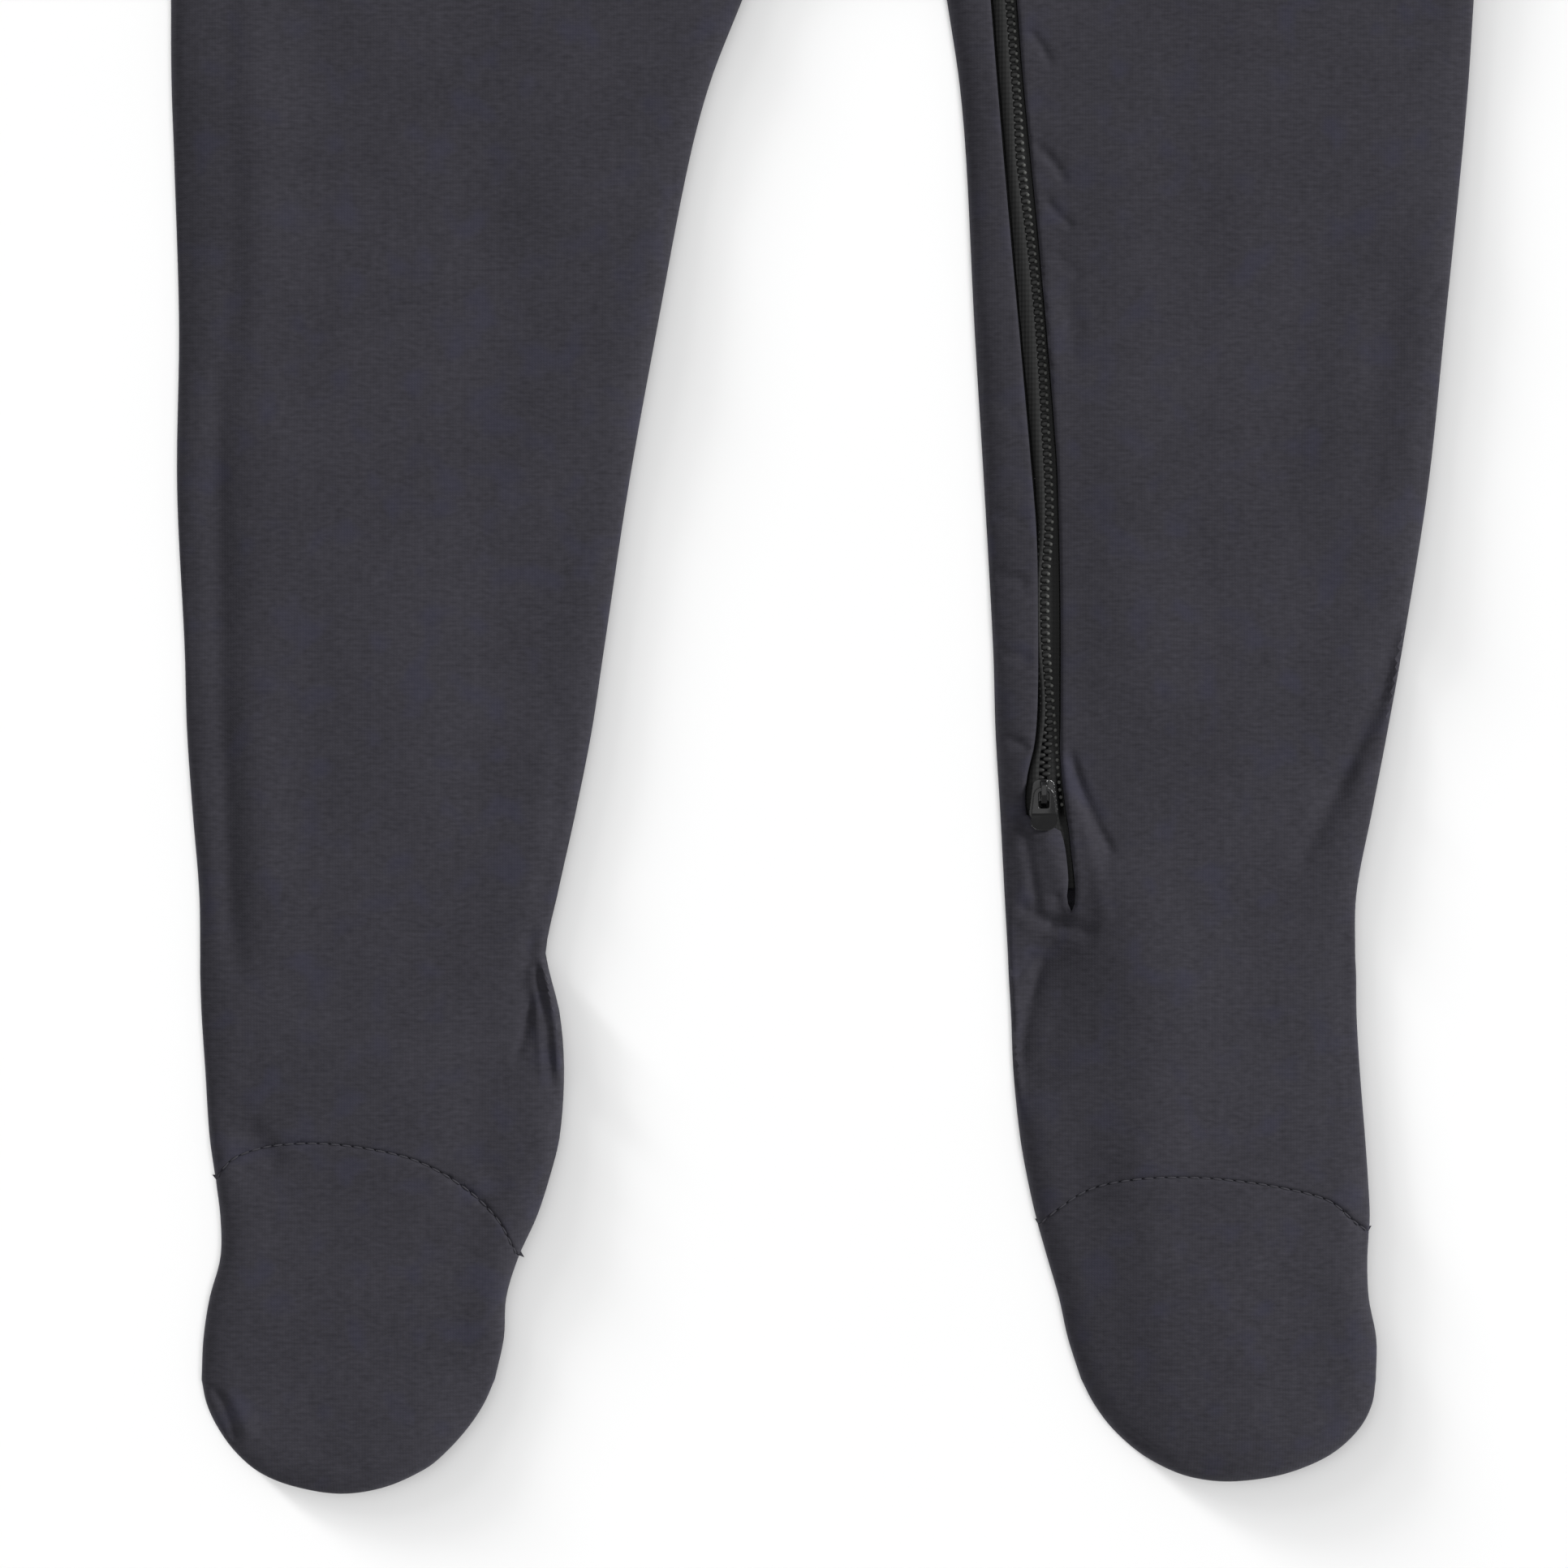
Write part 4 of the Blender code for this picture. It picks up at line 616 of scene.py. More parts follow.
def sleeve_top():
    top = sleeve_corners()[0]
    start, bulge = np.array(SHOULDER_TIP), np.array([6.0, 9.0])
    return curve(start, mix(start, top, 0.3) + bulge, mix(start, top, 0.7) + bulge * 0.4, top)


def sleeve_under():
    low = sleeve_corners()[1]
    start, dip = np.array(ARMPIT), np.array([5.0, 8.0])
    return curve(start, mix(start, low, 0.3) + dip, mix(start, low, 0.7) + dip * 0.3, low)


def cuff_corners():
    """Four corners of the left cuff: upper and lower at the wrist, upper and lower at the end."""
    top, _, down, across = sleeve_corners()
    near_top = top + across * (WRIST_WIDTH - CUFF_WIDTH) / 2 + down * SEAM_GAP
    near_low = near_top + across * CUFF_WIDTH
    return near_top, near_low, near_top + down * CUFF_LENGTH, near_low + down * CUFF_LENGTH


def neck_fold():
    """Left fold of the neckband, from the neckline to its upper edge."""
    start = np.array(NECK_SIDE)
    return [tuple(start), tuple(start + np.array(NECK_FOLD_LEAN) * NECKBAND_HEIGHT)]


def slit_edge(name, up):
    return along(SLIT, SLIT_COLUMNS, name + "_edge", up)


def slit_run(name):
    count = int((NECK_FRONT_UP - ZIP_END_UP) / FINE_STEP)
    return [(slit_edge(name, up), up) for up in np.linspace(ZIP_END_UP, NECK_FRONT_UP, count)]


def vamp_up(side, share):
    return along(VAMP, VAMP_COLUMNS, side + "_foot_up", share)


def heel_up(side, share):
    """The sole's round heel seam; both sides have the same one."""
    bow = 1.0 - abs(2.0 * share - 1.0) ** HEEL_BOW
    return HEEL_CORNER_UP + (HEEL_SEAM_UP - HEEL_CORNER_UP) * bow


def leg_parts(side):
    """The edges of a leg, the one towards the wearer's right first."""
    return ("outer", "inner") if side == "right" else ("inner", "outer")


def seam_across_leg(side, up_of, shift):
    """A seam from edge to edge of a leg, moved square to its line by a shift (up is positive)."""
    first, second = leg_parts(side)
    nudge = 0.004

    def point(share):
        up = up_of(side, share)
        return np.array((mix(edge(side, first, up), edge(side, second, up), share), up))

    line = []
    for share in (1.0 - np.cos(np.linspace(0.0, math.pi, 56))) / 2:
        before, after = point(max(share - nudge, 0.0)), point(min(share + nudge, 1.0))
        ahead = (after - before) / np.linalg.norm(after - before)
        if nudge < share < 1.0 - nudge:
            line.append(tuple(point(share) + np.array((-ahead[1], ahead[0])) * shift))
            continue
        up = up_of(side, share) + shift / max(STEEPEST, ahead[0])
        line.append((edge(side, first if share < 0.5 else second, up), up))
    return line


# ---- distances in plan
def fence(runs):
    """A search tree of upright strips that stand along plan lines."""
    corners, strips = [], []
    for run in runs:
        first = len(corners)
        for x, up in run:
            corners += [(x, up, -1.0), (x, up, 1.0)]
        for i in range(first, len(corners) - 2, 2):
            strips.append((i, i + 2, i + 3, i + 1))
    return BVHTree.FromPolygons(corners, strips)


def away_from(tree, points):
    """Distance of each plan point from a fence."""
    return np.array([tree.find_nearest((x, up, 0.0))[3] for x, up in points])


def folded_edges():
    """Every line along which the upper layer turns down to the lower one."""
    runs = []
    for side in ("right", "left"):
        base = toe_base(side)
        runs.append(edge_run(side, "outer", base, ARMPIT[1]))
        runs.append(edge_run(side, "inner", base, CROTCH_ARC_START) + crotch_arc(side))
        runs.append(toe_round(side))
    near_top, near_low, far_top, far_low = cuff_corners()
    halves = [sleeve_top(), sleeve_under(), [near_top, far_top], [near_low, far_low]]
    halves += [[SHOULDER_TIP, NECK_SIDE], neck_fold()]
    return runs + halves + [mirrored(half) for half in halves]


def sewn_edges():
    """Every seam and turned edge in the upper layer, where the cloth rolls down."""
    top, low, _, _ = sleeve_corners()
    halves = [armhole(), front_neckline(), [tuple(top), tuple(low)]]
    runs = [seam_across_leg(side, vamp_up, 0.0) for side in ("right", "left")]
    runs += [slit_run("right"), slit_run("left")]
    return runs + halves + [mirrored(half) for half in halves]


FOLDED = fence(folded_edges())
SEWN = fence(sewn_edges())


# ---- height of the cloth
def beside(points, row):
    """Where plan points lie by a bowed line: share of its length, and millimetres off it and past its end."""
    x0, up0, x1, up1, bow = row[:5]
    span = np.array([x1 - x0, up1 - up0])
    whole = np.linalg.norm(span)
    offset = points - np.array([x0, up0])
    share = offset @ span / whole**2
    inner = np.clip(share, 0.0, 1.0)
    aside = offset @ np.array([-span[1], span[0]]) / whole - 4.0 * bow * inner * (1.0 - inner)
    return share, aside, (share - inner) * whole


def trough(points, row, uneven=TROUGH_UNEVEN):
    """One soft trough or ridge, which fades out towards both ends, at each plan point."""
    x0, up0, x1, up1, bow, rise, half_width = row
    start, span = np.array([x0, up0]), np.array([x1 - x0, up1 - up0])
    whole = np.linalg.norm(span)
    reach = TROUGH_REACH * half_width + abs(bow) + TROUGH_FADE * whole
    near = np.abs(points - (start + span / 2)).max(axis=1) < whole / 2 + reach
    total = np.zeros(len(points))
    if not near.any():
        return total
    share, aside, over = beside(points[near], row)
    fade = smooth_step(share / TROUGH_FADE + 0.5) * smooth_step((1.0 - share) / TROUGH_FADE + 0.5)
    wave = 1.0 + uneven * np.sin(TROUGH_TURN * share + x0)
    total[near] = rise * np.exp(-(aside**2 + over**2) / half_width**2) * fade * wave
    return total


def quarter_round(share):
    return np.sqrt(np.clip(1.0 - (1.0 - np.clip(share, 0.0, 1.0)) ** 2, 0.0, 1.0))


def base_height(points):
    """Outer face of the upper layer with its largest folds."""
    distance = away_from(FOLDED, points)
    distance = np.where(distance < ON_EDGE, 0.0, distance)
    foot = smooth_step((FOOT_FULL_UP + FOOT_BLEND - points[:, 1]) / FOOT_BLEND)
    rise = mix(BODY_RISE, FOOT_RISE, foot) + CROWN * smooth_step(distance / CROWN_REACH)
    folds = sum(trough(points, (*row[:4], 0.0, *row[4:]), uneven=0.0) for row in FOLDS)
    return RIM + rise * quarter_round(distance / EDGE_ROUND) + folds * smooth_step(distance / EDGE_ROUND)


def fine_relief(points):
    """Short creases, the swollen heel edge and slow waves on the upper layer."""
    settings = bpy.context.scene.sleeper_cloth
    distance = away_from(FOLDED, points)
    inside = smooth_step(distance / CREASE_MARGIN)
    rim = trough(points, HEEL_RIM) * smooth_step(distance / HEEL_RIM_ROUND)
    total = sum(trough(points, row) for row in CREASES) * settings.crease_depth
    for heading, length, height, phase in WAVES:
        angle = math.radians(heading)
        run = points @ np.array([math.cos(angle), math.sin(angle)])
        total = total + height * np.sin(2.0 * math.pi * run / length + phase)
    return total * inside + rim


def seam_drop(points):
    """How far the cloth rolls down beside a sewn or turned edge."""
    inward = np.maximum(away_from(SEWN, points) - CLOSE_GAP, 0.0)
    return SEAM_DROP * (1.0 - quarter_round(inward / SEAM_ROLL))


def tube_underside(points):
    """Outer face of the lower half of a flattened tube, round at its folded edges."""
    return RIM - RIM * quarter_round(away_from(FOLDED, points) / RIM)


def under_hollows(points):
    """Hollows in the cloth that rests on the surface."""
    return sum(trough(points, row) for row in UNDER_HOLLOWS)


# ---- meshes
def signed_area(points):
    """Area inside a plan outline, positive where it runs anticlockwise."""
    ahead = np.roll(points, -1, axis=0)
    return (points[:, 0] * ahead[:, 1] - ahead[:, 0] * points[:, 1]).sum() / 2


def lattice(low, high, step):
    """Plan points of an even triangular lattice over a box."""
    points = []
    row_step = step * math.sqrt(3.0) / 2
    for row in range(int((high[1] - low[1]) / row_step) + 1):
        xs = np.arange(low[0] + (row % 2) * step / 2, high[0], step)
        points.append(np.column_stack([xs, np.full(len(xs), low[1] + row * row_step)]))
    return np.vstack(points)


def off_crease(points, row):
    """The plan points that lie out of the reach of a crease."""
    _, aside, over = beside(points, row)
    return points[np.hypot(aside, over) > CREASE_REACH * row[6]]


def crease_points(row):
    """A close lattice of plan points round a narrow crease."""
    *places, bow, _, half_width = row
    reach = CREASE_REACH * half_width
    ends = np.array([places[:2], places[2:]])
    margin = reach + abs(bow)
    step = max(CREASE_LATTICE, CREASE_LATTICE_SHARE * half_width)
    spread = lattice(ends.min(axis=0) - margin, ends.max(axis=0) + margin, step)
    _, aside, over = beside(spread, row)
    return spread[np.hypot(aside, over) < reach]


def plan_mesh(outline, rings=EDGE_RINGS, keep_off=KEEP_OFF):
    """Triangles over a plan outline: rows that follow its edge, then an even lattice."""
    outline = np.array(outline, float)
    step = np.linalg.norm(outline - np.roll(outline, 1, axis=0), axis=1)
    outline = outline[step > SAME_POINT]
    if signed_area(outline) < 0.0:
        outline = outline[::-1]
    border = fence([np.vstack([outline, outline[:1]])])
    ahead = np.roll(outline, -1, axis=0) - np.roll(outline, 1, axis=0)
    inward = np.column_stack([-ahead[:, 1], ahead[:, 0]]) / np.linalg.norm(ahead, axis=1)[:, None]
    kept = [outline]
    for ring in rings:
        row = outline + inward * ring
        kept.append(row[away_from(border, row) > RING_CLEAR * ring])
    low, high = outline.min(axis=0), outline.max(axis=0)
    for bottom, top, size in ((low[1], SHOWN_UP, FINE_LATTICE), (SHOWN_UP, high[1], PLAIN_LATTICE)):
        bottom, top = max(bottom, low[1]), min(top, high[1])
        if top - bottom > size:
            spread = lattice((low[0], bottom), (high[0], top), size)
            kept.append(spread[away_from(border, spread) > keep_off])
    close = np.empty((0, 2))
    for row in CREASES:
        if row[6] < FINE_CREASE:
            kept = [outline, off_crease(np.vstack(kept[1:]), row)]
            close = np.vstack([off_crease(close, row), crease_points(row)])
    close = close[((close > low) & (close < high)).all(axis=1)]
    close = close[away_from(border, close) > EDGE_CLEAR]
    points = [Vector(point) for point in np.vstack([*kept, close])]
    constraint = [list(range(len(outline)))]
    found, _, faces, _, _, _ = delaunay_2d_cdt(points, [], constraint, 1, 1e-4)
    used = sorted({i for face in faces for i in face})
    number = {old: new for new, old in enumerate(used)}
    plan = np.array([tuple(found[i]) for i in used])
    return plan, [[number[i] for i in face] for face in faces]


def upper_sheet(plan_and_faces):
    """Outer and inner points of the upper layer over a plan mesh."""
    plan, faces = plan_and_faces
    relief = fine_relief(plan)
    base = base_height(plan)
    outer = np.column_stack([plan, base + relief - seam_drop(plan)])
    return outer, np.column_stack([plan, base + relief]), slopes(plan, base_height), faces


def lower_sheet(plan_and_faces):
    """The same for the lower half of a tube, whose outer face points down."""
    plan, faces = plan_and_faces
    height = tube_underside(plan)
    outer = np.column_stack([plan, height + under_hollows(plan) * (height < ON_EDGE)])
    normals = -slopes(plan, tube_underside)
    return outer, np.column_stack([plan, height]), normals, [face[::-1] for face in faces]


def slopes(plan, height_of):
    """Upward normals of a height, and zero where the edge turns down."""
    nudge = 0.06
    steps = ((nudge, 0.0), (0.0, nudge))
    falls = [-(height_of(plan + step) - height_of(plan - step)) / (2 * nudge) for step in steps]
    normals = np.column_stack([*falls, np.ones(len(plan))])
    normals /= np.linalg.norm(normals, axis=1)[:, None]
    normals[away_from(FOLDED, plan) < nudge] = 0.0
    return normals


def shell(name, sheets, grain_deg=0.0):
    """Closed wall of cloth whose outer face is the sheets, joined where they share an edge."""
    mesh = bmesh.new()
    index, cores, normals = {}, [], []
    for outer, core, directions, faces in sheets:
        numbers = []
        for point, core_point, direction in zip(outer, core, directions):
            key = tuple(round(value, 3) for value in point)
            if key not in index:
                index[key] = mesh.verts.new(point)
                cores.append(Vector(core_point))
                normals.append(Vector(direction))
            numbers.append(index[key])
        for face in faces:
            mesh.faces.new([numbers[i] for i in face])
    mesh.normal_update()
    mesh.verts.index_update()
    outside = list(mesh.verts)
    inside = []
    for vert, core, normal in zip(outside, cores, normals):
        if not normal.length:
            normal = Vector((vert.normal.x, vert.normal.y, 0.0)).normalized()
        inside.append(mesh.verts.new(core - normal * WALL))
    rims = [edge.link_loops[0] for edge in mesh.edges if edge.is_boundary]
    rims = [(loop.vert.index, loop.link_loop_next.vert.index) for loop in rims]
    for face in list(mesh.faces):
        mesh.faces.new([inside[vert.index] for vert in reversed(face.verts)])
    for a, b in rims:
        mesh.faces.new([outside[b], outside[a], inside[a], inside[b]])
    return cloth_object(name, mesh, grain_deg)


def resting_plate(name, outline):
    """A single layer that rests on the surface, rounded under its edge."""
    plan, faces = plan_mesh(outline)
    closed = np.array(outline, float)
    border = fence([np.vstack([closed, closed[:1]])])
    inward = away_from(border, plan)
    rounding = UNDER_EDGE * (1.0 - quarter_round(inward / (2.0 * UNDER_EDGE)))
    hollow = under_hollows(plan) * smooth_step(inward / EDGE_ROUND)
    mesh = bmesh.new()
    top = [mesh.verts.new((x, up, z)) for (x, up), z in zip(plan, WALL - rounding * 0.5 + hollow * 0.5)]
    low = [mesh.verts.new((x, up, z)) for (x, up), z in zip(plan, rounding + hollow)]
    for face in faces:
        mesh.faces.new([top[i] for i in face])
        mesh.faces.new([low[i] for i in reversed(face)])
    number = {vert: i for i, vert in enumerate(top)}
    rims = [edge.link_loops[0] for edge in mesh.edges if edge.is_boundary and edge.verts[0] in number]
    for loop in rims:
        a, b = number[loop.vert], number[loop.link_loop_next.vert]
        mesh.faces.new([top[b], top[a], low[a], low[b]])
    return cloth_object(name, mesh)


def placed(mesh):
    """Moves a mesh from plan millimetres to the frame's metres."""
    bmesh.ops.translate(mesh, vec=(0.0, PLAN_LOW, 0.0), verts=mesh.verts)
    bmesh.ops.scale(mesh, vec=(MM, MM, MM), verts=mesh.verts)
    return mesh


def new_object(name, mesh):
    data = bpy.data.meshes.new(name)
    mesh.to_mesh(data)
    mesh.free()
    made = bpy.data.objects.new(name, data)
    bpy.context.scene.collection.objects.link(made)
    return made


def apply_modifiers(made):
    """Gives an object the mesh that its modifiers make of it."""
    graph = bpy.context.evaluated_depsgraph_get()
    plain = bpy.data.meshes.new_from_object(made.evaluated_get(graph))
    made.modifiers.clear()
    made.data = plain
    return made


def cloth_object(name, mesh, grain_deg=0.0):
    """A cloth piece with a UV map in metres whose V axis runs along the grain."""
    placed(mesh)
    layer = mesh.loops.layers.uv.new("grain")
    turn = math.radians(grain_deg)
    cosine, sine = math.cos(turn), math.sin(turn)
    for face in mesh.faces:
        face.smooth = True
        for loop in face.loops:
            x, y, _ = loop.vert.co
            loop[layer].uv = (x * cosine + y * sine, y * cosine - x * sine)
    made = new_object(name, mesh)
    made.data.set_sharp_from_angle(angle=math.radians(SHARP_DEG))
    return made


# ---- shader building blocks
class Graph:
    """Small helper that adds and wires nodes in one tree."""

    def __init__(self, tree):
        self.tree = tree

    def node(self, kind, inputs=(), **values):
        made = self.tree.nodes.new(kind)
        for name, value in values.items():
            setattr(made, name, value)
        return self.fill(made, dict(inputs))

    def fill(self, made, inputs):
        """Wires sockets to a node's inputs, or sets values in them."""
        for key, value in inputs.items():
            self.feed(made.inputs[key], value)
        return made

    def feed(self, socket, value):
        if isinstance(value, bpy.types.NodeSocket):
            self.tree.links.new(value, socket)
        else:
            socket.default_value = value

    def math(self, operation, a, b=0.0, c=0.0):
        made = self.tree.nodes.new("ShaderNodeMath")
        made.operation = operation
        for socket, value in zip(made.inputs, (a, b, c)):
            self.feed(socket, value)
        return made.outputs[0]

    def blend(self, share, a, b):
        made = self.tree.nodes.new("ShaderNodeMix")
        made.data_type = "RGBA"
        return self.fill(made, {0: share, 6: a, 7: b}).outputs[2]

    def noise(self, vector, scale, detail):
        inputs = {"Vector": vector, "Scale": scale, "Detail": detail}
        return self.node("ShaderNodeTexNoise", inputs).outputs[0]

    def group(self, group, inputs):
        made = self.tree.nodes.new("ShaderNodeGroup")
        made.node_tree = group
        return self.fill(made, inputs).outputs

    def clamp(self, value):
        return self.node("ShaderNodeClamp", {"Value": value}).outputs[0]

    def bump(self, height, strength, distance):
        inputs = {"Height": height, "Strength": strength, "Distance": distance}
        return self.node("ShaderNodeBump", inputs).outputs[0]


def new_group(name, family, inputs, outputs):
    """An empty node group with named sockets, and its helper, input and output nodes."""
    tree = bpy.data.node_groups.new(name, family + "NodeTree")
    for in_out, sockets in (("INPUT", inputs), ("OUTPUT", outputs)):
        for label, kind, *default in sockets:
            socket = tree.interface.new_socket(name=label, in_out=in_out, socket_type="NodeSocket" + kind)
            if default:
                socket.default_value = default[0]
    graph = Graph(tree)
    return graph, graph.node("NodeGroupInput").outputs, graph.node("NodeGroupOutput")


def knit_group():
    """Jersey: columns of V-shaped stitches, flecks of lighter fibre, slow drifts of colour, and a little
    painted shade that darkens the stitches' hollows.
    """
    name = "Knit"
    if name in bpy.data.node_groups:
        return bpy.data.node_groups[name]
    graph, given, out = new_group(
        name, "Shader",
        (("Grain", "Vector"), ("Place", "Vector"), ("Cloth", "Color", (0.03, 0.03, 0.035, 1.0)),
         ("Heather", "Color", (0.05, 0.05, 0.06, 1.0)), ("Cool", "Color", (0.04, 0.04, 0.06, 1.0)),
         ("Wale", "Float", 0.0007)),
        (("Colour", "Color"), ("Height", "Float"), ("Roughness", "Float")))
    split = graph.node("ShaderNodeSeparateXYZ", {0: given["Grain"]})
    column = graph.math("DIVIDE", split.outputs[0], given["Wale"])
    course = graph.math("DIVIDE", split.outputs[1], graph.math("MULTIPLY", given["Wale"], 0.8))
    across = graph.math("PINGPONG", column, 0.5)
    vee = graph.math("ADD", course, graph.math("MULTIPLY", across, 0.9))
    stitch = graph.math("COSINE", graph.math("MULTIPLY", vee, 2.0 * math.pi))
    rib = graph.math("COSINE", graph.math("MULTIPLY", column, 2.0 * math.pi))
    relief = graph.math("MULTIPLY_ADD", stitch, 0.25, graph.math("MULTIPLY_ADD", rib, 0.3, 0.5))

    def fibres(across, ahead, detail):
        scale = {"Vector": given["Grain"], "Scale": (across, ahead, 1.0)}
        return graph.noise(graph.node("ShaderNodeMapping", scale).outputs[0], 1.0, detail)

    flecks = fibres(520.0, 1250.0, 2.0)
    threads = fibres(150.0, 1700.0, 1.0)
    uprights = fibres(900.0, 170.0, 1.0)
    blotches, drift, fuzz = (graph.noise(given["Place"], scale, 2.0) for scale in (210.0, 45.0, 2600.0))
    tone = 0.48
    for part, weight in ((flecks, 1.3), (threads, 0.5), (uprights, 0.3), (blotches, 0.35), (drift, 0.55)):
        tone = graph.math("MULTIPLY_ADD", graph.math("SUBTRACT", part, 0.5), weight, tone)
    # Painted shade: the stitches' hollows are a little darker and their crests a little lighter in colour.
    tone = graph.math("MULTIPLY_ADD", graph.math("SUBTRACT", relief, 0.5), 0.05, tone)
    fibre = graph.blend(graph.clamp(tone), given["Cloth"], given["Heather"])
    patch = graph.node("ShaderNodeMapRange", {
        "Value": graph.noise(given["Place"], 130.0, 1.0), "From Min": 0.56, "From Max": 0.74, "To Max": 0.4})
    soft = graph.math("MULTIPLY_ADD", fuzz, 0.7, relief)
    graph.fill(out, {
        "Colour": graph.blend(patch.outputs[0], fibre, given["Cool"]),
        "Height": graph.math("MULTIPLY_ADD", flecks, 0.8, soft),
        "Roughness": graph.math("MULTIPLY_ADD", fuzz, 0.12, 0.84)})
    return graph.tree


def rib_group():
    """Close woven ribs across one axis, with a fine crossing thread. Their colour is painted light and shade:
    lighter on the ribs' tops and darker in the grooves.
    """
    name = "Ribs"
    if name in bpy.data.node_groups:
        return bpy.data.node_groups[name]
    graph, given, out = new_group(
        name, "Shader",
        (("Vector", "Vector"), ("Colour", "Color", (0.02, 0.02, 0.02, 1.0)),
         ("Light", "Color", (0.04, 0.04, 0.04, 1.0)), ("Pitch", "Float", 0.001), ("Cross", "Float", 0.0006)),
        (("Colour", "Color"), ("Height", "Float")))
    split = graph.node("ShaderNodeSeparateXYZ", {0: given["Vector"]})
    turns = graph.math("MULTIPLY", graph.math("DIVIDE", split.outputs[0], given["Pitch"]), 2.0 * math.pi)
    rows = graph.math("MULTIPLY", graph.math("DIVIDE", split.outputs[1], given["Cross"]), 2.0 * math.pi)
    ribs = graph.math("MULTIPLY_ADD", graph.math("COSINE", turns), 0.35, 0.5)
    weave = graph.math("MULTIPLY_ADD", graph.math("COSINE", rows), 0.15, ribs)
    height = graph.math("MULTIPLY_ADD", graph.noise(given["Vector"], 1500.0, 2.0), 0.3, weave)
    # Painted light and shade, with some random unevenness of the thread: the colour follows the height,
    # lighter on the ribs' tops and darker in their grooves.
    share = graph.clamp(graph.math("MULTIPLY", height, 0.7))
    graph.fill(out, {"Height": height, "Colour": graph.blend(share, given["Colour"], given["Light"])})
    return graph.tree


def rgba(colour):
    return (*colour, 1.0)


def material_with(name):
    """A new material, its helper and its Principled shader."""
    material = bpy.data.materials.new(name)
    material.use_nodes = True
    return material, Graph(material.node_tree), material.node_tree.nodes["Principled BSDF"]


def jersey_material():
    name = "Charcoal jersey"
    if name in bpy.data.materials:
        return bpy.data.materials[name]
    settings = bpy.context.scene.sleeper_cloth
    material, graph, shader = material_with(name)
    grain = graph.node("ShaderNodeUVMap", uv_map="grain")
    place = graph.node("ShaderNodeTexCoord")
    knit = graph.group(knit_group(), {
        "Grain": grain.outputs[0], "Place": place.outputs["Object"], "Cloth": rgba(settings.colour),
        "Heather": rgba(settings.heather), "Cool": rgba(settings.cool), "Wale": settings.wale})
    graph.fill(shader, {
        "Base Color": knit["Colour"], "Roughness": knit["Roughness"],
        "Normal": graph.bump(knit["Height"], 0.55, settings.knit_depth), "Specular IOR Level": 0.25,
        "Sheen Weight": 0.10, "Sheen Roughness": 0.5, "Sheen Tint": (0.75, 0.75, 0.9, 1.0)})
    return material


def tape_material(colour):
    name = "Woven tape"
    if name in bpy.data.materials:
        return bpy.data.materials[name]
    # Colour of the ribs' tops, made lighter as painted light.
    light = tuple(1.35 * value for value in colour)
    material, graph, shader = material_with(name)
    grain = graph.node("ShaderNodeUVMap", uv_map="grain")
    ribs = graph.group(rib_group(), {
        "Vector": grain.outputs[0], "Colour": rgba(colour), "Light": rgba(light), "Pitch": 0.0011,
        "Cross": 0.0007})
    graph.fill(shader, {
        "Base Color": ribs["Colour"], "Normal": graph.bump(ribs["Height"], 0.8, 0.00012),
        "Roughness": 0.75, "Specular IOR Level": 0.35})
    return material


def smooth_material(name, colour, roughness, metallic=0.0, coat=0.0):
    """Nylon or lacquered metal: a fine unevenness breaks its highlights."""
    if name in bpy.data.materials:
        return bpy.data.materials[name]
    material, graph, shader = material_with(name)
    place = graph.node("ShaderNodeTexCoord")
    noise = graph.noise(place.outputs["Object"], 900.0, 3.0)
    darker = tuple(value * 0.75 for value in colour)
    graph.fill(shader, {
        "Base Color": graph.blend(noise, rgba(darker), rgba(colour)),
        "Roughness": graph.math("MULTIPLY_ADD", noise, 0.16, roughness - 0.08),
        "Normal": graph.bump(noise, 0.4, 0.00002), "Metallic": metallic, "Coat Weight": coat,
        "Coat Roughness": 0.18})
    return material


# ---- rows of small loops
def loop_row_tree():
    """Geometry nodes: small rounded loops at even steps along a line."""
    name = "Row of loops"
    if name in bpy.data.node_groups:
        return bpy.data.node_groups[name]
    graph, given, out = new_group(
        name, "Geometry",
        (("Line", "Geometry"), ("Pitch", "Float", 0.0016), ("Length", "Float", 0.0014),
         ("Width", "Float", 0.0006), ("Height", "Float", 0.0005), ("Lean", "Float", 0.0),
         ("Material", "Material")),
        (("Loops", "Geometry"),))
    line = graph.node("GeometryNodeMeshToCurve", {"Mesh": given["Line"]})
    points = graph.node("GeometryNodeCurveToPoints", {
        "Curve": line.outputs[0], "Length": given["Pitch"]}, mode="LENGTH")
    turn = graph.node("FunctionNodeAlignRotationToVector", {
        "Vector": points.outputs["Tangent"]}, axis="Y", pivot_axis="Z")
    lean = graph.node("ShaderNodeCombineXYZ", {"Z": given["Lean"]})
    leaning = graph.node("FunctionNodeEulerToRotation", {"Euler": lean.outputs[0]})
    both = graph.node("FunctionNodeRotateRotation", {
        "Rotation": turn.outputs[0], "Rotate By": leaning.outputs[0]}, rotation_space="LOCAL")
    ball = graph.node("GeometryNodeMeshUVSphere", {"Segments": 8, "Rings": 5, "Radius": 0.5})
    size = graph.node("ShaderNodeCombineXYZ", {
        "X": given["Length"], "Y": given["Width"], "Z": given["Height"]})
    spread = graph.node("GeometryNodeInstanceOnPoints", {
        "Points": points.outputs[0], "Instance": ball.outputs[0], "Rotation": both.outputs[0],
        "Scale": size.outputs[0]})
    real = graph.node("GeometryNodeRealizeInstances", {0: spread.outputs[0]})
    smooth = graph.node("GeometryNodeSetShadeSmooth", {0: real.outputs[0]})
    painted = graph.node("GeometryNodeSetMaterial", {
        "Geometry": smooth.outputs[0], "Material": given["Material"]})
    graph.fill(out, {"Loops": painted.outputs[0]})
    return graph.tree


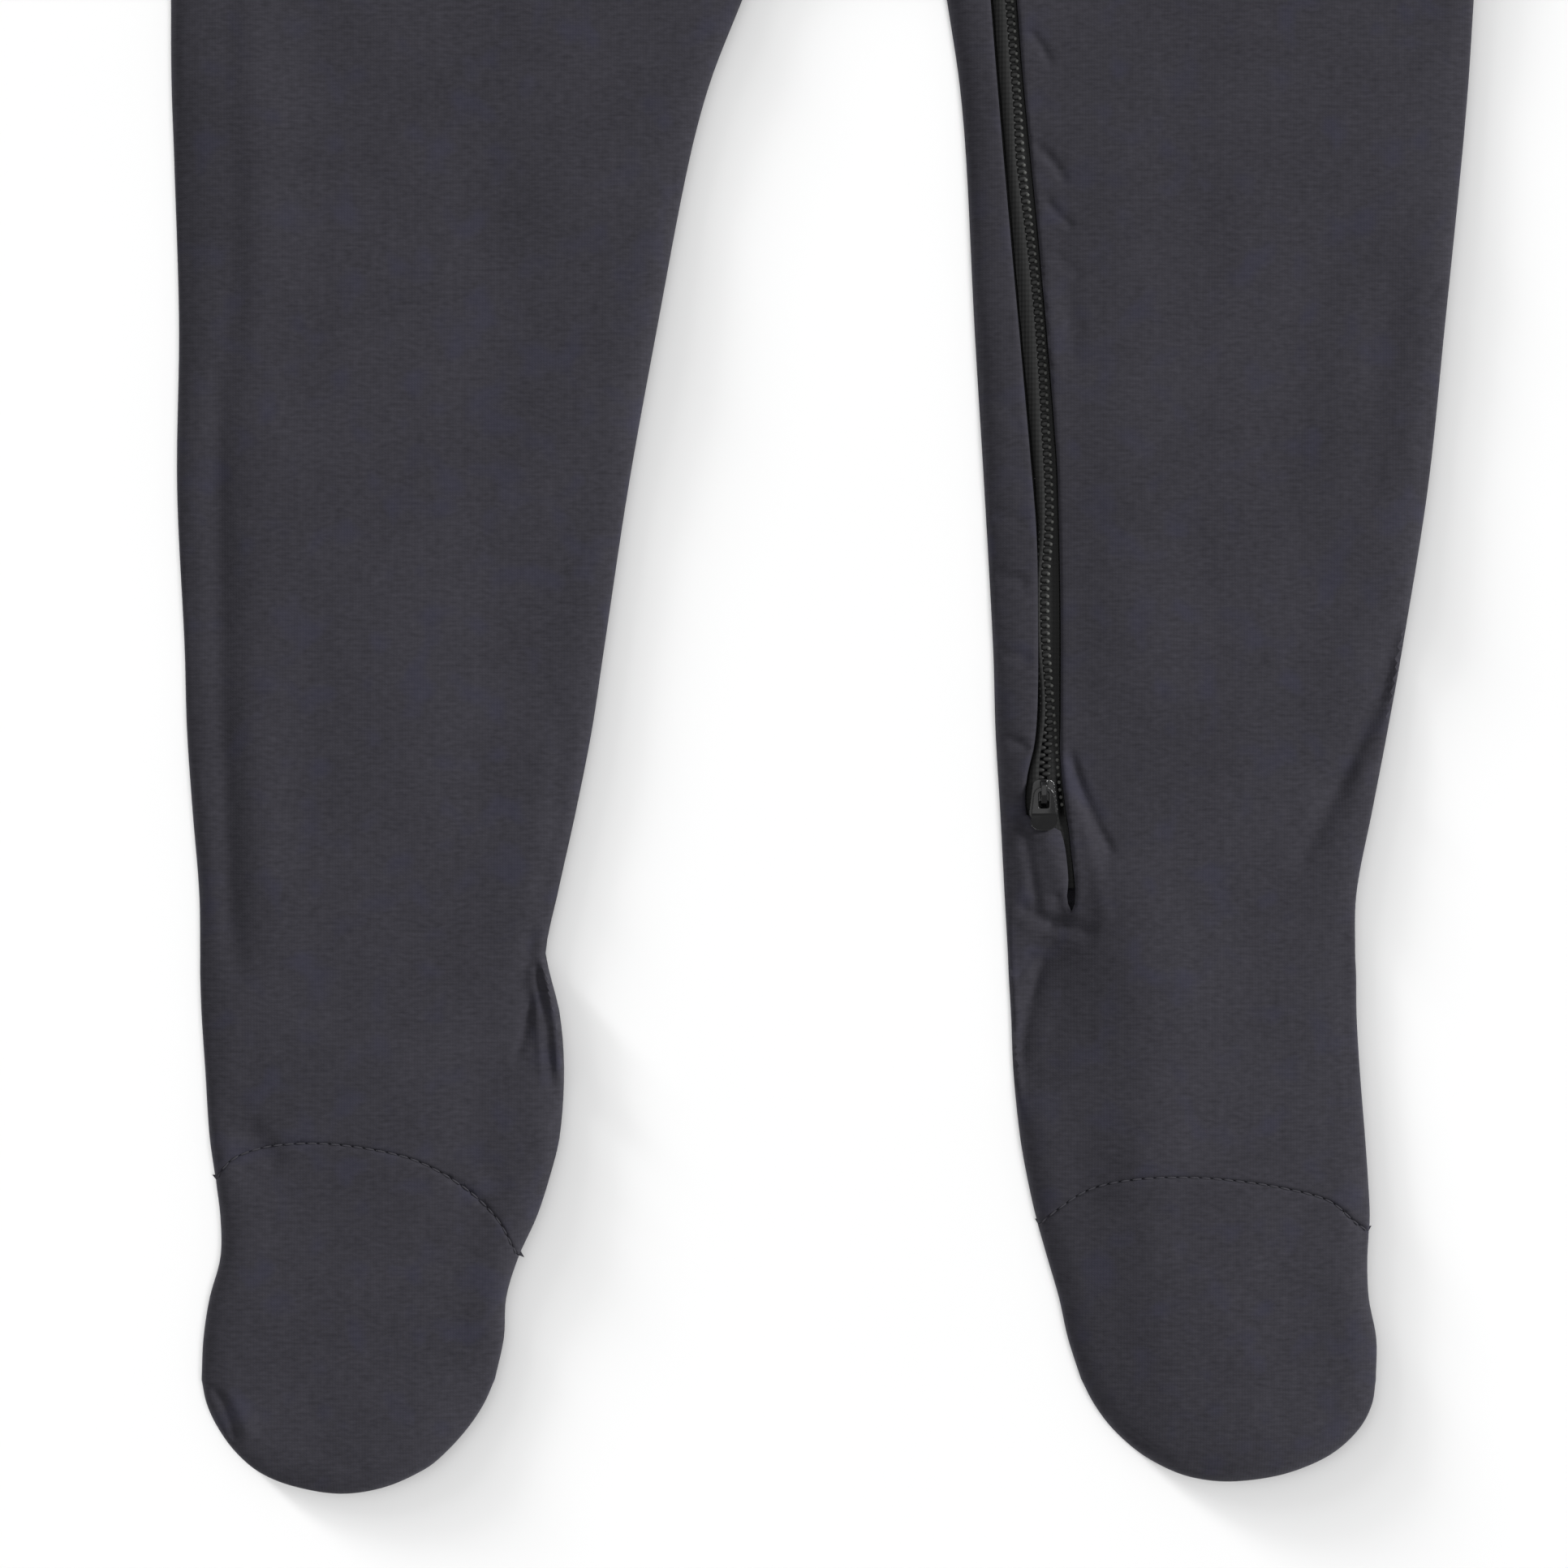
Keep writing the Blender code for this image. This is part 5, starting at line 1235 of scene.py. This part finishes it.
def loop_row(name, runs, material, **sizes):
    """A plain mesh of loops along lines of (x, up, z) points."""
    mesh = bmesh.new()
    for run in runs:
        verts = [mesh.verts.new(point) for point in run]
        for a, b in zip(verts[:-1], verts[1:]):
            mesh.edges.new((a, b))
    made = new_object(name, placed(mesh))
    tree = loop_row_tree()
    sockets = {item.name: item.identifier for item in tree.interface.items_tree if item.in_out == "INPUT"}
    nodes = made.modifiers.new("Loops", "NODES")
    nodes.node_group = tree
    for label, value in sizes.items():
        nodes[sockets[label.capitalize()]] = value
    nodes[sockets["Material"]] = material
    return apply_modifiers(made)


# ---- attaching pieces and hiding their nodes
def declare(piece, slot, *nodes, body="garment"):
    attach(piece, body)
    if nodes:
        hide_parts(*nodes)


def declare_cloth(piece, node, cut, area, rests_on):
    """Gives a jersey piece its material, attaches it to the garment and hides its node. Its cut in
    millimetres, its area and what it lies on are not used.
    """
    piece.data.materials.append(jersey_material())
    declare(piece, "jersey", node)


def cut_of(outline):
    """Width and height of a plan outline, and its area."""
    outline = np.array(outline, float)
    return outline.max(axis=0) - outline.min(axis=0), abs(signed_area(outline))


# ---- pieces
def on_side(side, points):
    """Plan points of the left half as they are, or mirrored for the right half."""
    return points if side == "left" else np.array(points) * MIRROR


def over_shoulder(neck):
    """Up the left armhole and over the shoulder to a neckline, without the armpit."""
    shoulder = listed([SHOULDER_TIP, NECK_SIDE], PLAIN_STEP)
    return listed(armhole(), PLAIN_STEP)[1:] + shoulder[1:] + neck[1:]


def front_outline():
    left_vamp, right_vamp = (seam_across_leg(side, vamp_up, CLOSE_GAP) for side in ("left", "right"))

    def side_seam(side, start):
        low = edge_run(side, "outer", start, SHOWN_UP)
        return low + edge_run(side, "outer", SHOWN_UP, ARMPIT[1], PLAIN_STEP)[1:]

    neck = listed(front_neckline(), NECK_STEP)
    left_slit, right_slit = slit_run("left"), slit_run("right")
    left_neck = [point for point in neck if point[0] > left_slit[-1][0] + SLIT_CLEAR]
    right_neck = [point for point in neck if -point[0] < right_slit[-1][0] - SLIT_CLEAR]
    outline = left_vamp + side_seam("left", left_vamp[-1][1])[1:] + over_shoulder(left_neck)
    outline += left_slit[::-1] + right_slit[1:] + mirrored(over_shoulder(right_neck))[::-1]
    outline += side_seam("right", right_vamp[0][1])[:0:-1]
    outline += right_vamp + edge_run("right", "inner", right_vamp[-1][1], CROTCH_ARC_START)[1:]
    outline += crotch_arc("right")[1:] + crotch_arc("left")[::-1][1:]
    outline += edge_run("left", "inner", left_vamp[0][1], CROTCH_ARC_START)[::-1][1:-1]
    return outline


def foot_outline(side, line):
    """A foot piece below a seam that runs from the wearer's right to left."""
    first, second = leg_parts(side)
    base = toe_base(side)
    down = edge_run(side, second, line[-1][1], base)[1:]
    toe = toe_round(side, 70)[::-1][1:-1]
    return line + down + toe + edge_run(side, first, base, line[0][1])[:-1]


def half_back(side):
    """From the crotch down the inner leg, round the heel, up the side and over to mid neck."""
    heel = seam_across_leg(side, heel_up, SEAM_GAP / 2)
    if side == "right":
        heel = heel[::-1]
    inner = edge_run(side, "inner", heel[0][1], CROTCH_ARC_START, BACK_STEP) + crotch_arc(side, 24)[1:]
    seam = edge_run(side, "outer", heel[-1][1], ARMPIT[1], PLAIN_STEP)
    top = over_shoulder(listed(back_neckline(), PLAIN_STEP))
    return inner[::-1] + heel[1:-1] + seam + (mirrored(top) if side == "right" else top)


def sleeve_outline(side):
    clear = 2.0 * SLEEVE_GAP / SLEEVE_TOP_LENGTH
    under = resample(sleeve_under(), np.linspace(2.0 * clear, 1.0, 60))
    top = resample(sleeve_top(), np.linspace(clear, 1.0, 80))
    seam = spaced(armhole(), BACK_STEP)[1:-1] + np.array([SLEEVE_GAP, 0.0])
    wrist = spaced([top[-1], under[-1]], BACK_STEP)[1:-1]
    return on_side(side, np.vstack([seam, top, wrist, under[::-1]]))


def cuff_outline(side):
    near_top, near_low, far_top, far_low = cuff_corners()
    sides = ([near_low, near_top], [near_top, far_top], [far_top, far_low], [far_low, near_low])
    return on_side(side, np.vstack([spaced(line, NECK_STEP)[:-1] for line in sides]))


def band_rows(neckline):
    """Lower and upper edge of the left half of the neckband, from its fold to the middle."""
    seam = spaced(neckline, BAND_STEP)
    ahead = np.gradient(seam, axis=0)
    upward = np.column_stack([ahead[:, 1], -ahead[:, 0]])
    upward /= np.linalg.norm(upward, axis=1)[:, None]
    upward[-1] = (0.0, 1.0)
    run = np.concatenate([[0.0], np.cumsum(np.linalg.norm(np.diff(seam, axis=0), axis=1))])
    lean = mix(np.array(NECK_FOLD_LEAN), upward, smooth_step(run / BAND_TURN)[:, None])
    lean /= np.linalg.norm(lean, axis=1)[:, None]
    return seam + lean * SEAM_GAP, seam + lean * NECKBAND_HEIGHT


def band_outline(lower, upper, limit):
    """Outline of a half band, whose last points lie on the opening's edge."""
    lower[-1, 0], upper[-1, 0] = limit(lower[-1, 1]), limit(upper[-1, 1])
    fold = spaced([upper[0], lower[0]], BAND_END_STEP)[1:-1]
    end = spaced([lower[-1], upper[-1]], BAND_END_STEP)[1:-1]
    return np.vstack([lower, end, upper[::-1], fold])


# ---- zip
# The pull in metres: fall of its upper face to the sides, at the start of its tip and at its end,
# bend of the free end, and length of the tip.
PULL_CROWN = 0.00034
PULL_STEP = 0.00014
PULL_TIP_DROP = 0.00042
PULL_BEND = 0.00045
PULL_TIP = 0.0036
# How far the bright beads along the coil, painted highlights on the heads of its loops, lie off the middle of
# the opening, which wanders over the zip.
BEAD_COLUMNS = ("up", "aside")
BEAD_DRIFT = (
    (146.0, 3.7), (152.0, 3.1), (157.0, 2.3), (164.0, 1.35), (172.6, 0.5), (182.0, -0.2),
    (193.3, -0.25), (196.7, 0.1), (206.2, 1.1), (210.5, 1.35), (227.2, 1.65), (238.1, 2.0),
    (248.4, 2.15), (260.5, 2.05), (271.7, 1.7), (282.9, 1.3), (289.8, 1.55), (295.9, 1.8),
    (330.0, 1.9), (420.0, 1.6), (560.0, 1.9), (713.0, 1.6),
)
BEAD_ASIDE = 1.4          # from the middle of the coil
ZIP_EASE = 20.0           # over this height above the slider the zip goes over to its own line
SLIDER_TOP_UP = SLIDER_UP + SLIDER_LENGTH / 2
BEAD_LOW_UP = 146.5
ZIP_TOP_UP = NECK_FRONT_UP + NECKBAND_HEIGHT - TAPE_TOP_MARGIN


def bead_line(up):
    """Column of bright beads beside the coil, painted as the highlights on the heads of its loops."""
    middle = (slit_edge("right", up) + slit_edge("left", up)) / 2
    return middle + along(BEAD_DRIFT, BEAD_COLUMNS, "aside", up)


def zip_line(up):
    """Middle of the zip: straight at the slider and below it, and on its own line further up."""
    ease = float(smooth_step((up - SLIDER_TOP_UP) / ZIP_EASE))
    return mix(SLIDER_X, bead_line(up) - BEAD_ASIDE, ease)


TAPE_DEPTH = 0.2          # of the tapes' plain level under the front's inner face
TAPE_START = 5.0          # over the opening's end
TAPE_STEP = 1.6
TAPE_LEAST = 1.6          # width that shows
# Each tape from the coil outwards: share of the way to the cloth's edge, millimetres beyond that,
# and rise over the tape's plain level. One tape swells over its loops; both dip beside the cloth.
TAPE_PROFILES = {
    "right": (
        (0.00, 0.0, 0.46), (0.10, 0.0, 0.66), (0.28, 0.0, 0.72), (0.46, 0.0, 0.62), (0.62, 0.0, 0.36),
        (0.76, 0.0, 0.12), (1.0, -0.6, 0.04), (1.0, -0.42, -0.6), (1.0, 0.1, -0.7),
        (1.0, 0.6, -0.2), (1.0, 3.0, -0.1),
    ),
    "left": (
        (0.00, 0.0, 0.20), (0.15, 0.0, 0.30), (0.35, 0.0, 0.38), (0.55, 0.0, 0.42), (0.75, 0.0, 0.42),
        (0.88, 0.0, 0.42), (1.0, -0.2, 0.40), (1.0, -0.1, 0.0), (1.0, 0.2, -0.1),
        (1.0, 0.6, -0.2), (1.0, 3.0, -0.1),
    ),
}
THROAT_POINT = 4          # of the left profile, which dips beside the slider
THROAT_DIP = 1.5
THROAT_EASE = 2.4
POST_CLEAR = 0.9          # from the slider's middle to each tape
PART_START = 7.0          # from there on the tapes close up
PART_EASE = 14.0
RIGHT_LOOPS = 0.24        # rise of each row over the tapes' plain level
LEFT_LOOPS = 0.40
# rise of the bright beads, painted highlights on the loops' heads
HIGHLIGHT_BEADS = 0.52


def tape_level(points):
    return base_height(np.asarray(points, float)) - WALL - SEAM_GAP - TAPE_DEPTH


def tape_rows(side):
    """Rows across one tape, each a list of (x, up, z)."""
    sign = -1.0 if side == "right" else 1.0
    profile = TAPE_PROFILES[side]
    rows = []
    for up in np.arange(ZIP_END_UP + TAPE_START, ZIP_TOP_UP, TAPE_STEP):
        middle = zip_line(up)
        ease = float(smooth_step((abs(up - SLIDER_UP) - PART_START) / PART_EASE))
        inside = middle + sign * mix(POST_CLEAR, SEAM_GAP / 2, ease)
        cloth = sign * max(sign * slit_edge(side, up), sign * inside + TAPE_LEAST)
        outside = middle + sign * TAPE_HALF
        if side == "right" and up < CROTCH_UP:
            outside = max(outside, inner_edge("left", up) + TAPE_FROM_SEAM)
        row = [(mix(inside, cloth, share) + sign * beyond, up) for share, beyond, _ in profile]
        rows.append([(max(x, outside) if side == "right" else min(x, outside), up) for x, up in row])
    flat = np.array(rows).reshape(-1, 2)
    level = tape_level(flat).reshape(len(rows), -1)
    level += np.array([rise for _, _, rise in profile])
    if side == "left":
        past = np.abs(np.array(rows)[:, 0, 1] - SLIDER_UP) - SLIDER_LENGTH / 2
        level[:, THROAT_POINT] -= THROAT_DIP * smooth_step(0.5 - past / THROAT_EASE)
    return [[(x, up, z) for (x, up), z in zip(row, high)] for row, high in zip(rows, level)]


def ribbon(mesh, rows, thickness):
    """Adds a closed strip to a mesh: rows of its top points, and its thickness."""
    upper = [[mesh.verts.new(point) for point in row] for row in rows]
    lower = [[mesh.verts.new((x, up, z - thickness)) for x, up, z in row] for row in rows]
    for near, far in zip(range(len(rows) - 1), range(1, len(rows))):
        for j in range(len(rows[0]) - 1):
            mesh.faces.new([upper[near][j], upper[near][j + 1], upper[far][j + 1], upper[far][j]])
            mesh.faces.new([lower[far][j], lower[far][j + 1], lower[near][j + 1], lower[near][j]])
    loops = []
    for layer in (upper, lower):
        border = [row[0] for row in layer] + layer[-1][1:]
        loops.append(border + [row[-1] for row in layer[-2::-1]] + layer[0][-2:0:-1])
    for i in range(len(loops[0])):
        mesh.faces.new([loops[0][i - 1], loops[0][i], loops[1][i], loops[1][i - 1]])


def cast_node(name, node, grain, rounds):
    """A copy of a packed hard piece as a close even mesh, with its edges rounded as in a casting."""
    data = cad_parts[node].data.copy()
    data.materials.clear()
    mesh = bmesh.new()
    mesh.from_mesh(data)
    bmesh.ops.remove_doubles(mesh, verts=mesh.verts, dist=SAME_VERT)
    bpy.data.meshes.remove(data)
    made = new_object(name, mesh)
    even = made.modifiers.new("Even", "REMESH")
    even.mode = "VOXEL"
    even.voxel_size = grain
    even.use_smooth_shade = True
    soft = made.modifiers.new("Round", "SMOOTH")
    soft.factor = 0.5
    soft.iterations = rounds
    return apply_modifiers(made)


def crown_pull(pull):
    """Slope the pull's upper face down towards its sides, and bend its free end down."""
    corners = np.empty(len(pull.data.vertices) * 3)
    pull.data.vertices.foreach_get("co", corners)
    corners = corners.reshape(-1, 3)
    x, up, z = corners.T
    middle, axis = SLIDER_X * MM, (z.max() + z.min()) / 2
    half_width, low = (x.max() - x.min()) / 2, up.min()
    above = np.clip((z - axis) / (z.max() - axis), 0.0, 1.0)
    tip = np.clip((low + PULL_TIP - up) / PULL_TIP, 0.0, 1.0)
    drop = PULL_CROWN * ((x - middle) / half_width) ** 2
    drop += PULL_STEP * smooth_step(tip * 8.0) + PULL_TIP_DROP * tip
    corners[:, 2] -= above * drop + PULL_BEND * tip ** 1.5
    pull.data.vertices.foreach_set("co", corners.ravel())
    pull.data.update()


# ---- operators
class SLEEPER_OT_front(bpy.types.Operator):
    """Lay the front, with its creases and the opening for the zip"""

    bl_idname = "sleeper.front"
    bl_label = "Front"

    def execute(self, context):
        outline = front_outline()
        piece = shell("front_cloth", [upper_sheet(plan_mesh(outline))])
        declare_cloth(piece, "front", *cut_of(outline), "back_cloth")
        return {"FINISHED"}


class SLEEPER_OT_back(bpy.types.Operator):
    """Lay the back flat on the surface"""

    bl_idname = "sleeper.back"
    bl_label = "Back"

    def execute(self, context):
        outline = half_back("left") + half_back("right")[::-1][1:-1]
        declare_cloth(resting_plate("back_cloth", outline), "back", *cut_of(outline), "surface")
        return {"FINISHED"}


class SLEEPER_OT_feet(bpy.types.Operator):
    """Lay the foot tops and the soles"""

    bl_idname = "sleeper.feet"
    bl_label = "Feet"

    def execute(self, context):
        for side in ("right", "left"):
            outline = foot_outline(side, seam_across_leg(side, vamp_up, -CLOSE_GAP))
            piece = shell("foot_top_cloth_" + side, [upper_sheet(plan_mesh(outline))])
            declare_cloth(piece, "foot_top_" + side, *cut_of(outline), "sole_cloth_" + side)
            outline = foot_outline(side, seam_across_leg(side, heel_up, -SEAM_GAP / 2))
            piece = resting_plate("sole_cloth_" + side, outline)
            declare_cloth(piece, "sole_" + side, *cut_of(outline), "surface")
        return {"FINISHED"}


class SLEEPER_OT_sleeves(bpy.types.Operator):
    """Lay the sleeves and the cuffs as flattened tubes"""

    bl_idname = "sleeper.sleeves"
    bl_label = "Sleeves and cuffs"

    def execute(self, context):
        for side, sign in (("right", 1.0), ("left", -1.0)):
            grain = sign * (90.0 - SLEEVE_DROP_DEG)
            for kind, outline, length, width in (
                ("sleeve", sleeve_outline(side), SLEEVE_TOP_LENGTH, 2 * SLEEVE_WIDTH),
                ("cuff", cuff_outline(side), CUFF_LENGTH, 2 * CUFF_WIDTH),
            ):
                plan = plan_mesh(outline)
                piece = shell(f"{kind}_cloth_{side}", [upper_sheet(plan), lower_sheet(plan)], grain)
                declare_cloth(piece, f"{kind}_{side}", (width, length), 2 * cut_of(outline)[1], "surface")
        return {"FINISHED"}


class SLEEPER_OT_neckband(bpy.types.Operator):
    """Lay the neckband, flattened with the neck"""

    bl_idname = "sleeper.neckband"
    bl_label = "Neckband"

    def execute(self, context):
        lower, upper = band_rows(back_neckline())
        rear = np.vstack([lower, (lower * MIRROR)[::-1][1:], upper * MIRROR, upper[::-1][1:]])
        outlines = []
        for side, sign in (("right", -1.0), ("left", 1.0)):
            limit = sign * slit_edge(side, NECK_FRONT_UP)
            line = [point for point in front_neckline() if point[0] > limit]
            outline = band_outline(*band_rows(line), lambda up: sign * slit_edge(side, up))
            outlines.append(on_side(side, outline))
        sheets = [upper_sheet(plan_mesh(outline, *BAND_MESH)) for outline in outlines]
        piece = shell("neckband_cloth", [*sheets, lower_sheet(plan_mesh(rear, *BAND_MESH))])
        area = sum(cut_of(outline)[1] for outline in (*outlines, rear))
        declare_cloth(piece, "neckband", (area / NECKBAND_HEIGHT, NECKBAND_HEIGHT), area, "back_cloth")
        return {"FINISHED"}


class SLEEPER_OT_zip(bpy.types.Operator):
    """Make the tapes, the coil, the slider and the pull"""

    bl_idname = "sleeper.zip"
    bl_label = "Zip"

    def execute(self, context):
        settings = context.scene.sleeper_zip
        mesh = bmesh.new()
        for side in ("right", "left"):
            ribbon(mesh, tape_rows(side), TAPE_THICKNESS)
        bmesh.ops.recalc_face_normals(mesh, faces=mesh.faces)
        tapes = cloth_object("zip_tapes", mesh, 90.0)
        tapes.data.materials.append(tape_material(settings.tape_colour))
        declare(tapes, "zip_tape", "zip_tape_right", "zip_tape_left")

        nylon = smooth_material("Nylon coil", settings.coil_colour, 0.55)
        # Material of the bright beads: painted highlights on the heads of the coil's loops.
        thread = smooth_material("Coil thread", settings.bead_highlight_colour, 0.6)
        start = SLIDER_TOP_UP + SEAM_GAP
        offset = settings.row_offset / MM

        def row(line, aside, rise, low):
            places = np.array([(line(up) + aside, up) for up in np.arange(low, ZIP_TOP_UP, 3.0)])
            return np.column_stack([places, tape_level(places) + rise])

        half_pitch = settings.pitch / MM / 2
        runs = [row(zip_line, -offset, RIGHT_LOOPS, start),
                row(zip_line, offset, LEFT_LOOPS, start + half_pitch)]
        coil = loop_row("zip_coil_loops", runs, nylon, pitch=settings.pitch, length=0.0021,
                        width=0.0012, height=0.0006, lean=math.radians(6.0))
        declare(coil, "zip_nylon", "zip_coil")
        # Bright beads beside the coil, painted highlights on the heads of its loops.
        beads = loop_row("zip_coil_stitches", [row(bead_line, 0.0, HIGHLIGHT_BEADS, BEAD_LOW_UP)], thread,
                         pitch=settings.pitch, length=0.00085, width=0.0009, height=0.0006, lean=0.0)
        declare(beads, "zip_nylon")

        metal = smooth_material("Dark lacquer", settings.metal_colour, 0.22, metallic=0.35, coat=0.4)
        for node, body, rounds in (("zip_slider", "garment", 24), ("zip_pull", "pull", 10)):
            piece = cast_node(node + "_metal", node, settings.cast_grain, rounds)
            if node == "zip_pull":
                crown_pull(piece)
            piece.data.materials.append(metal)
            declare(piece, "zip_metal", node, body=body)
        return {"FINISHED"}


class SLEEPER_OT_seams(bpy.types.Operator):
    """Sew the seams over the feet"""

    bl_idname = "sleeper.seams"
    bl_label = "Seam threads"

    def execute(self, context):
        runs = []
        for side in ("right", "left"):
            line = spaced(seam_across_leg(side, vamp_up, 0.0), 2.0)[1:-1]
            level = base_height(line) + fine_relief(line) - SEAM_DEPTH
            runs.append(np.column_stack([line, level]))
        thread = smooth_material("Seam thread", context.scene.sleeper_cloth.heather, 0.8)
        stitches = loop_row("seam_threads", runs, thread, pitch=0.0024, length=0.00045, width=0.0023,
                            height=0.0004, lean=0.0)
        declare(stitches, "jersey")
        return {"FINISHED"}


class SLEEPER_OT_studio(bpy.types.Operator):
    """Set the surface, the lights and the camera"""

    bl_idname = "sleeper.studio"
    bl_label = "Studio"

    def execute(self, context):
        settings = context.scene.sleeper_studio
        mesh = bmesh.new()
        bmesh.ops.create_grid(mesh, x_segments=2, y_segments=2, size=SURFACE_HALF)
        bmesh.ops.translate(mesh, vec=(0.0, 0.0, -SURFACE_DROP), verts=mesh.verts)
        surface = new_object("surface", mesh)
        material, graph, shader = material_with("White paper")
        place = graph.node("ShaderNodeTexCoord")
        noise = graph.noise(place.outputs["Object"], 8.0, 2.0)
        tone = graph.blend(noise, rgba((0.90, 0.90, 0.90)), rgba((0.92, 0.92, 0.92)))
        graph.fill(shader, {"Base Color": tone, "Roughness": 0.9})
        surface.data.materials.append(material)

        world = bpy.data.worlds.new("Even light")
        world.use_nodes = True
        background = world.node_tree.nodes["Background"]
        Graph(world.node_tree).fill(background, {"Color": (1.0, 1.0, 1.0, 1.0), "Strength": settings.sky})
        context.scene.world = world

        only_surface = bpy.data.collections.new("only_the_surface")
        only_surface.objects.link(surface)
        garment = bpy.data.collections.new("all_but_the_surface")
        garment.objects.link(surface)
        garment.collection_objects[0].light_linking.link_state = "EXCLUDE"
        metal = bpy.data.collections.new("only_the_metal")
        for name in ("zip_slider_metal", "zip_pull_metal"):
            metal.objects.link(bpy.data.objects[name])
        for name, place, angle_deg, receivers in (
            ("Surface low", (-0.72, 0.69, 0.19), 9.0, only_surface),
            ("Surface slant", (-0.72, 0.69, 0.32), 16.0, only_surface),
            ("Surface side", (-0.72, 0.69, 0.85), 80.0, only_surface),
            ("Surface top", (0.3, -0.1, 1.0), 30.0, only_surface),
            ("Cloth side", (0.9, 0.38, 0.62), 16.0, garment),
            ("Cloth top", (-0.25, 0.2, 1.0), 60.0, garment),
            ("Glint", (0.5, 0.7, 1.0), 4.0, metal),
        ):
            self.light(name, place, angle_deg, receivers)

        scene = context.scene
        camera = bpy.data.objects.new("Camera", bpy.data.cameras.new("Camera"))
        camera.data.lens = settings.lens
        camera.data.sensor_width = 36.0
        distance = settings.view_width * settings.lens / camera.data.sensor_width
        camera.location = (settings.centre_x, settings.centre_up + PLAN_LOW * MM, distance + VIEW_LEVEL)
        camera.data.clip_end = 20.0
        scene.collection.objects.link(camera)
        scene.camera = camera
        scene.view_settings.view_transform = "Standard"
        scene.view_settings.look = "None"
        return {"FINISHED"}

    def light(self, name, place, angle_deg, receivers):
        """A soft sun that shines from a place towards the garment, on some objects only."""
        settings = bpy.context.scene.sleeper_studio
        made = bpy.data.objects.new(name, bpy.data.lights.new(name, "SUN"))
        made.data.energy = getattr(settings, name.lower().replace(" ", "_"))
        made.data.angle = math.radians(angle_deg)
        made.location = Vector(place)
        made.rotation_mode = "QUATERNION"
        made.rotation_quaternion = (-Vector(place)).to_track_quat("-Z", "Y")
        made.light_linking.receiver_collection = receivers
        bpy.context.scene.collection.objects.link(made)


class SLEEPER_PT_panel(bpy.types.Panel):
    """Sizes, colours and pieces of the sleeper"""

    bl_idname = "SLEEPER_PT_panel"
    bl_label = "Footed sleeper"
    bl_space_type = "VIEW_3D"
    bl_region_type = "UI"
    bl_category = "Sleeper"

    def draw(self, context):
        scene = context.scene
        for group in (scene.sleeper_cloth, scene.sleeper_zip, scene.sleeper_studio):
            box = self.layout.box()
            for name in group.bl_rna.properties.keys():
                if name not in ("rna_type", "name"):
                    box.prop(group, name)
        for operator in OPERATORS:
            self.layout.operator(operator.bl_idname)


OPERATORS = (
    SLEEPER_OT_back,
    SLEEPER_OT_front,
    SLEEPER_OT_feet,
    SLEEPER_OT_sleeves,
    SLEEPER_OT_neckband,
    SLEEPER_OT_zip,
    SLEEPER_OT_seams,
    SLEEPER_OT_studio,
)
GROUPS = (
    ("sleeper_cloth", SleeperCloth),
    ("sleeper_zip", SleeperZip),
    ("sleeper_studio", SleeperStudio),
)


def register():
    for name, group in GROUPS:
        bpy.utils.register_class(group)
        setattr(bpy.types.Scene, name, bpy.props.PointerProperty(type=group))
    for item in (*OPERATORS, SLEEPER_PT_panel):
        bpy.utils.register_class(item)


def unregister():
    for item in reversed((*OPERATORS, SLEEPER_PT_panel)):
        bpy.utils.unregister_class(item)
    for name, group in reversed(GROUPS):
        delattr(bpy.types.Scene, name)
        bpy.utils.unregister_class(group)


def main():
    register()
    bpy.ops.sleeper.back()
    bpy.ops.sleeper.front()
    bpy.ops.sleeper.feet()
    bpy.ops.sleeper.sleeves()
    bpy.ops.sleeper.neckband()
    bpy.ops.sleeper.zip()
    bpy.ops.sleeper.seams()
    bpy.ops.sleeper.studio()


if __name__ == "__main__":
    main()
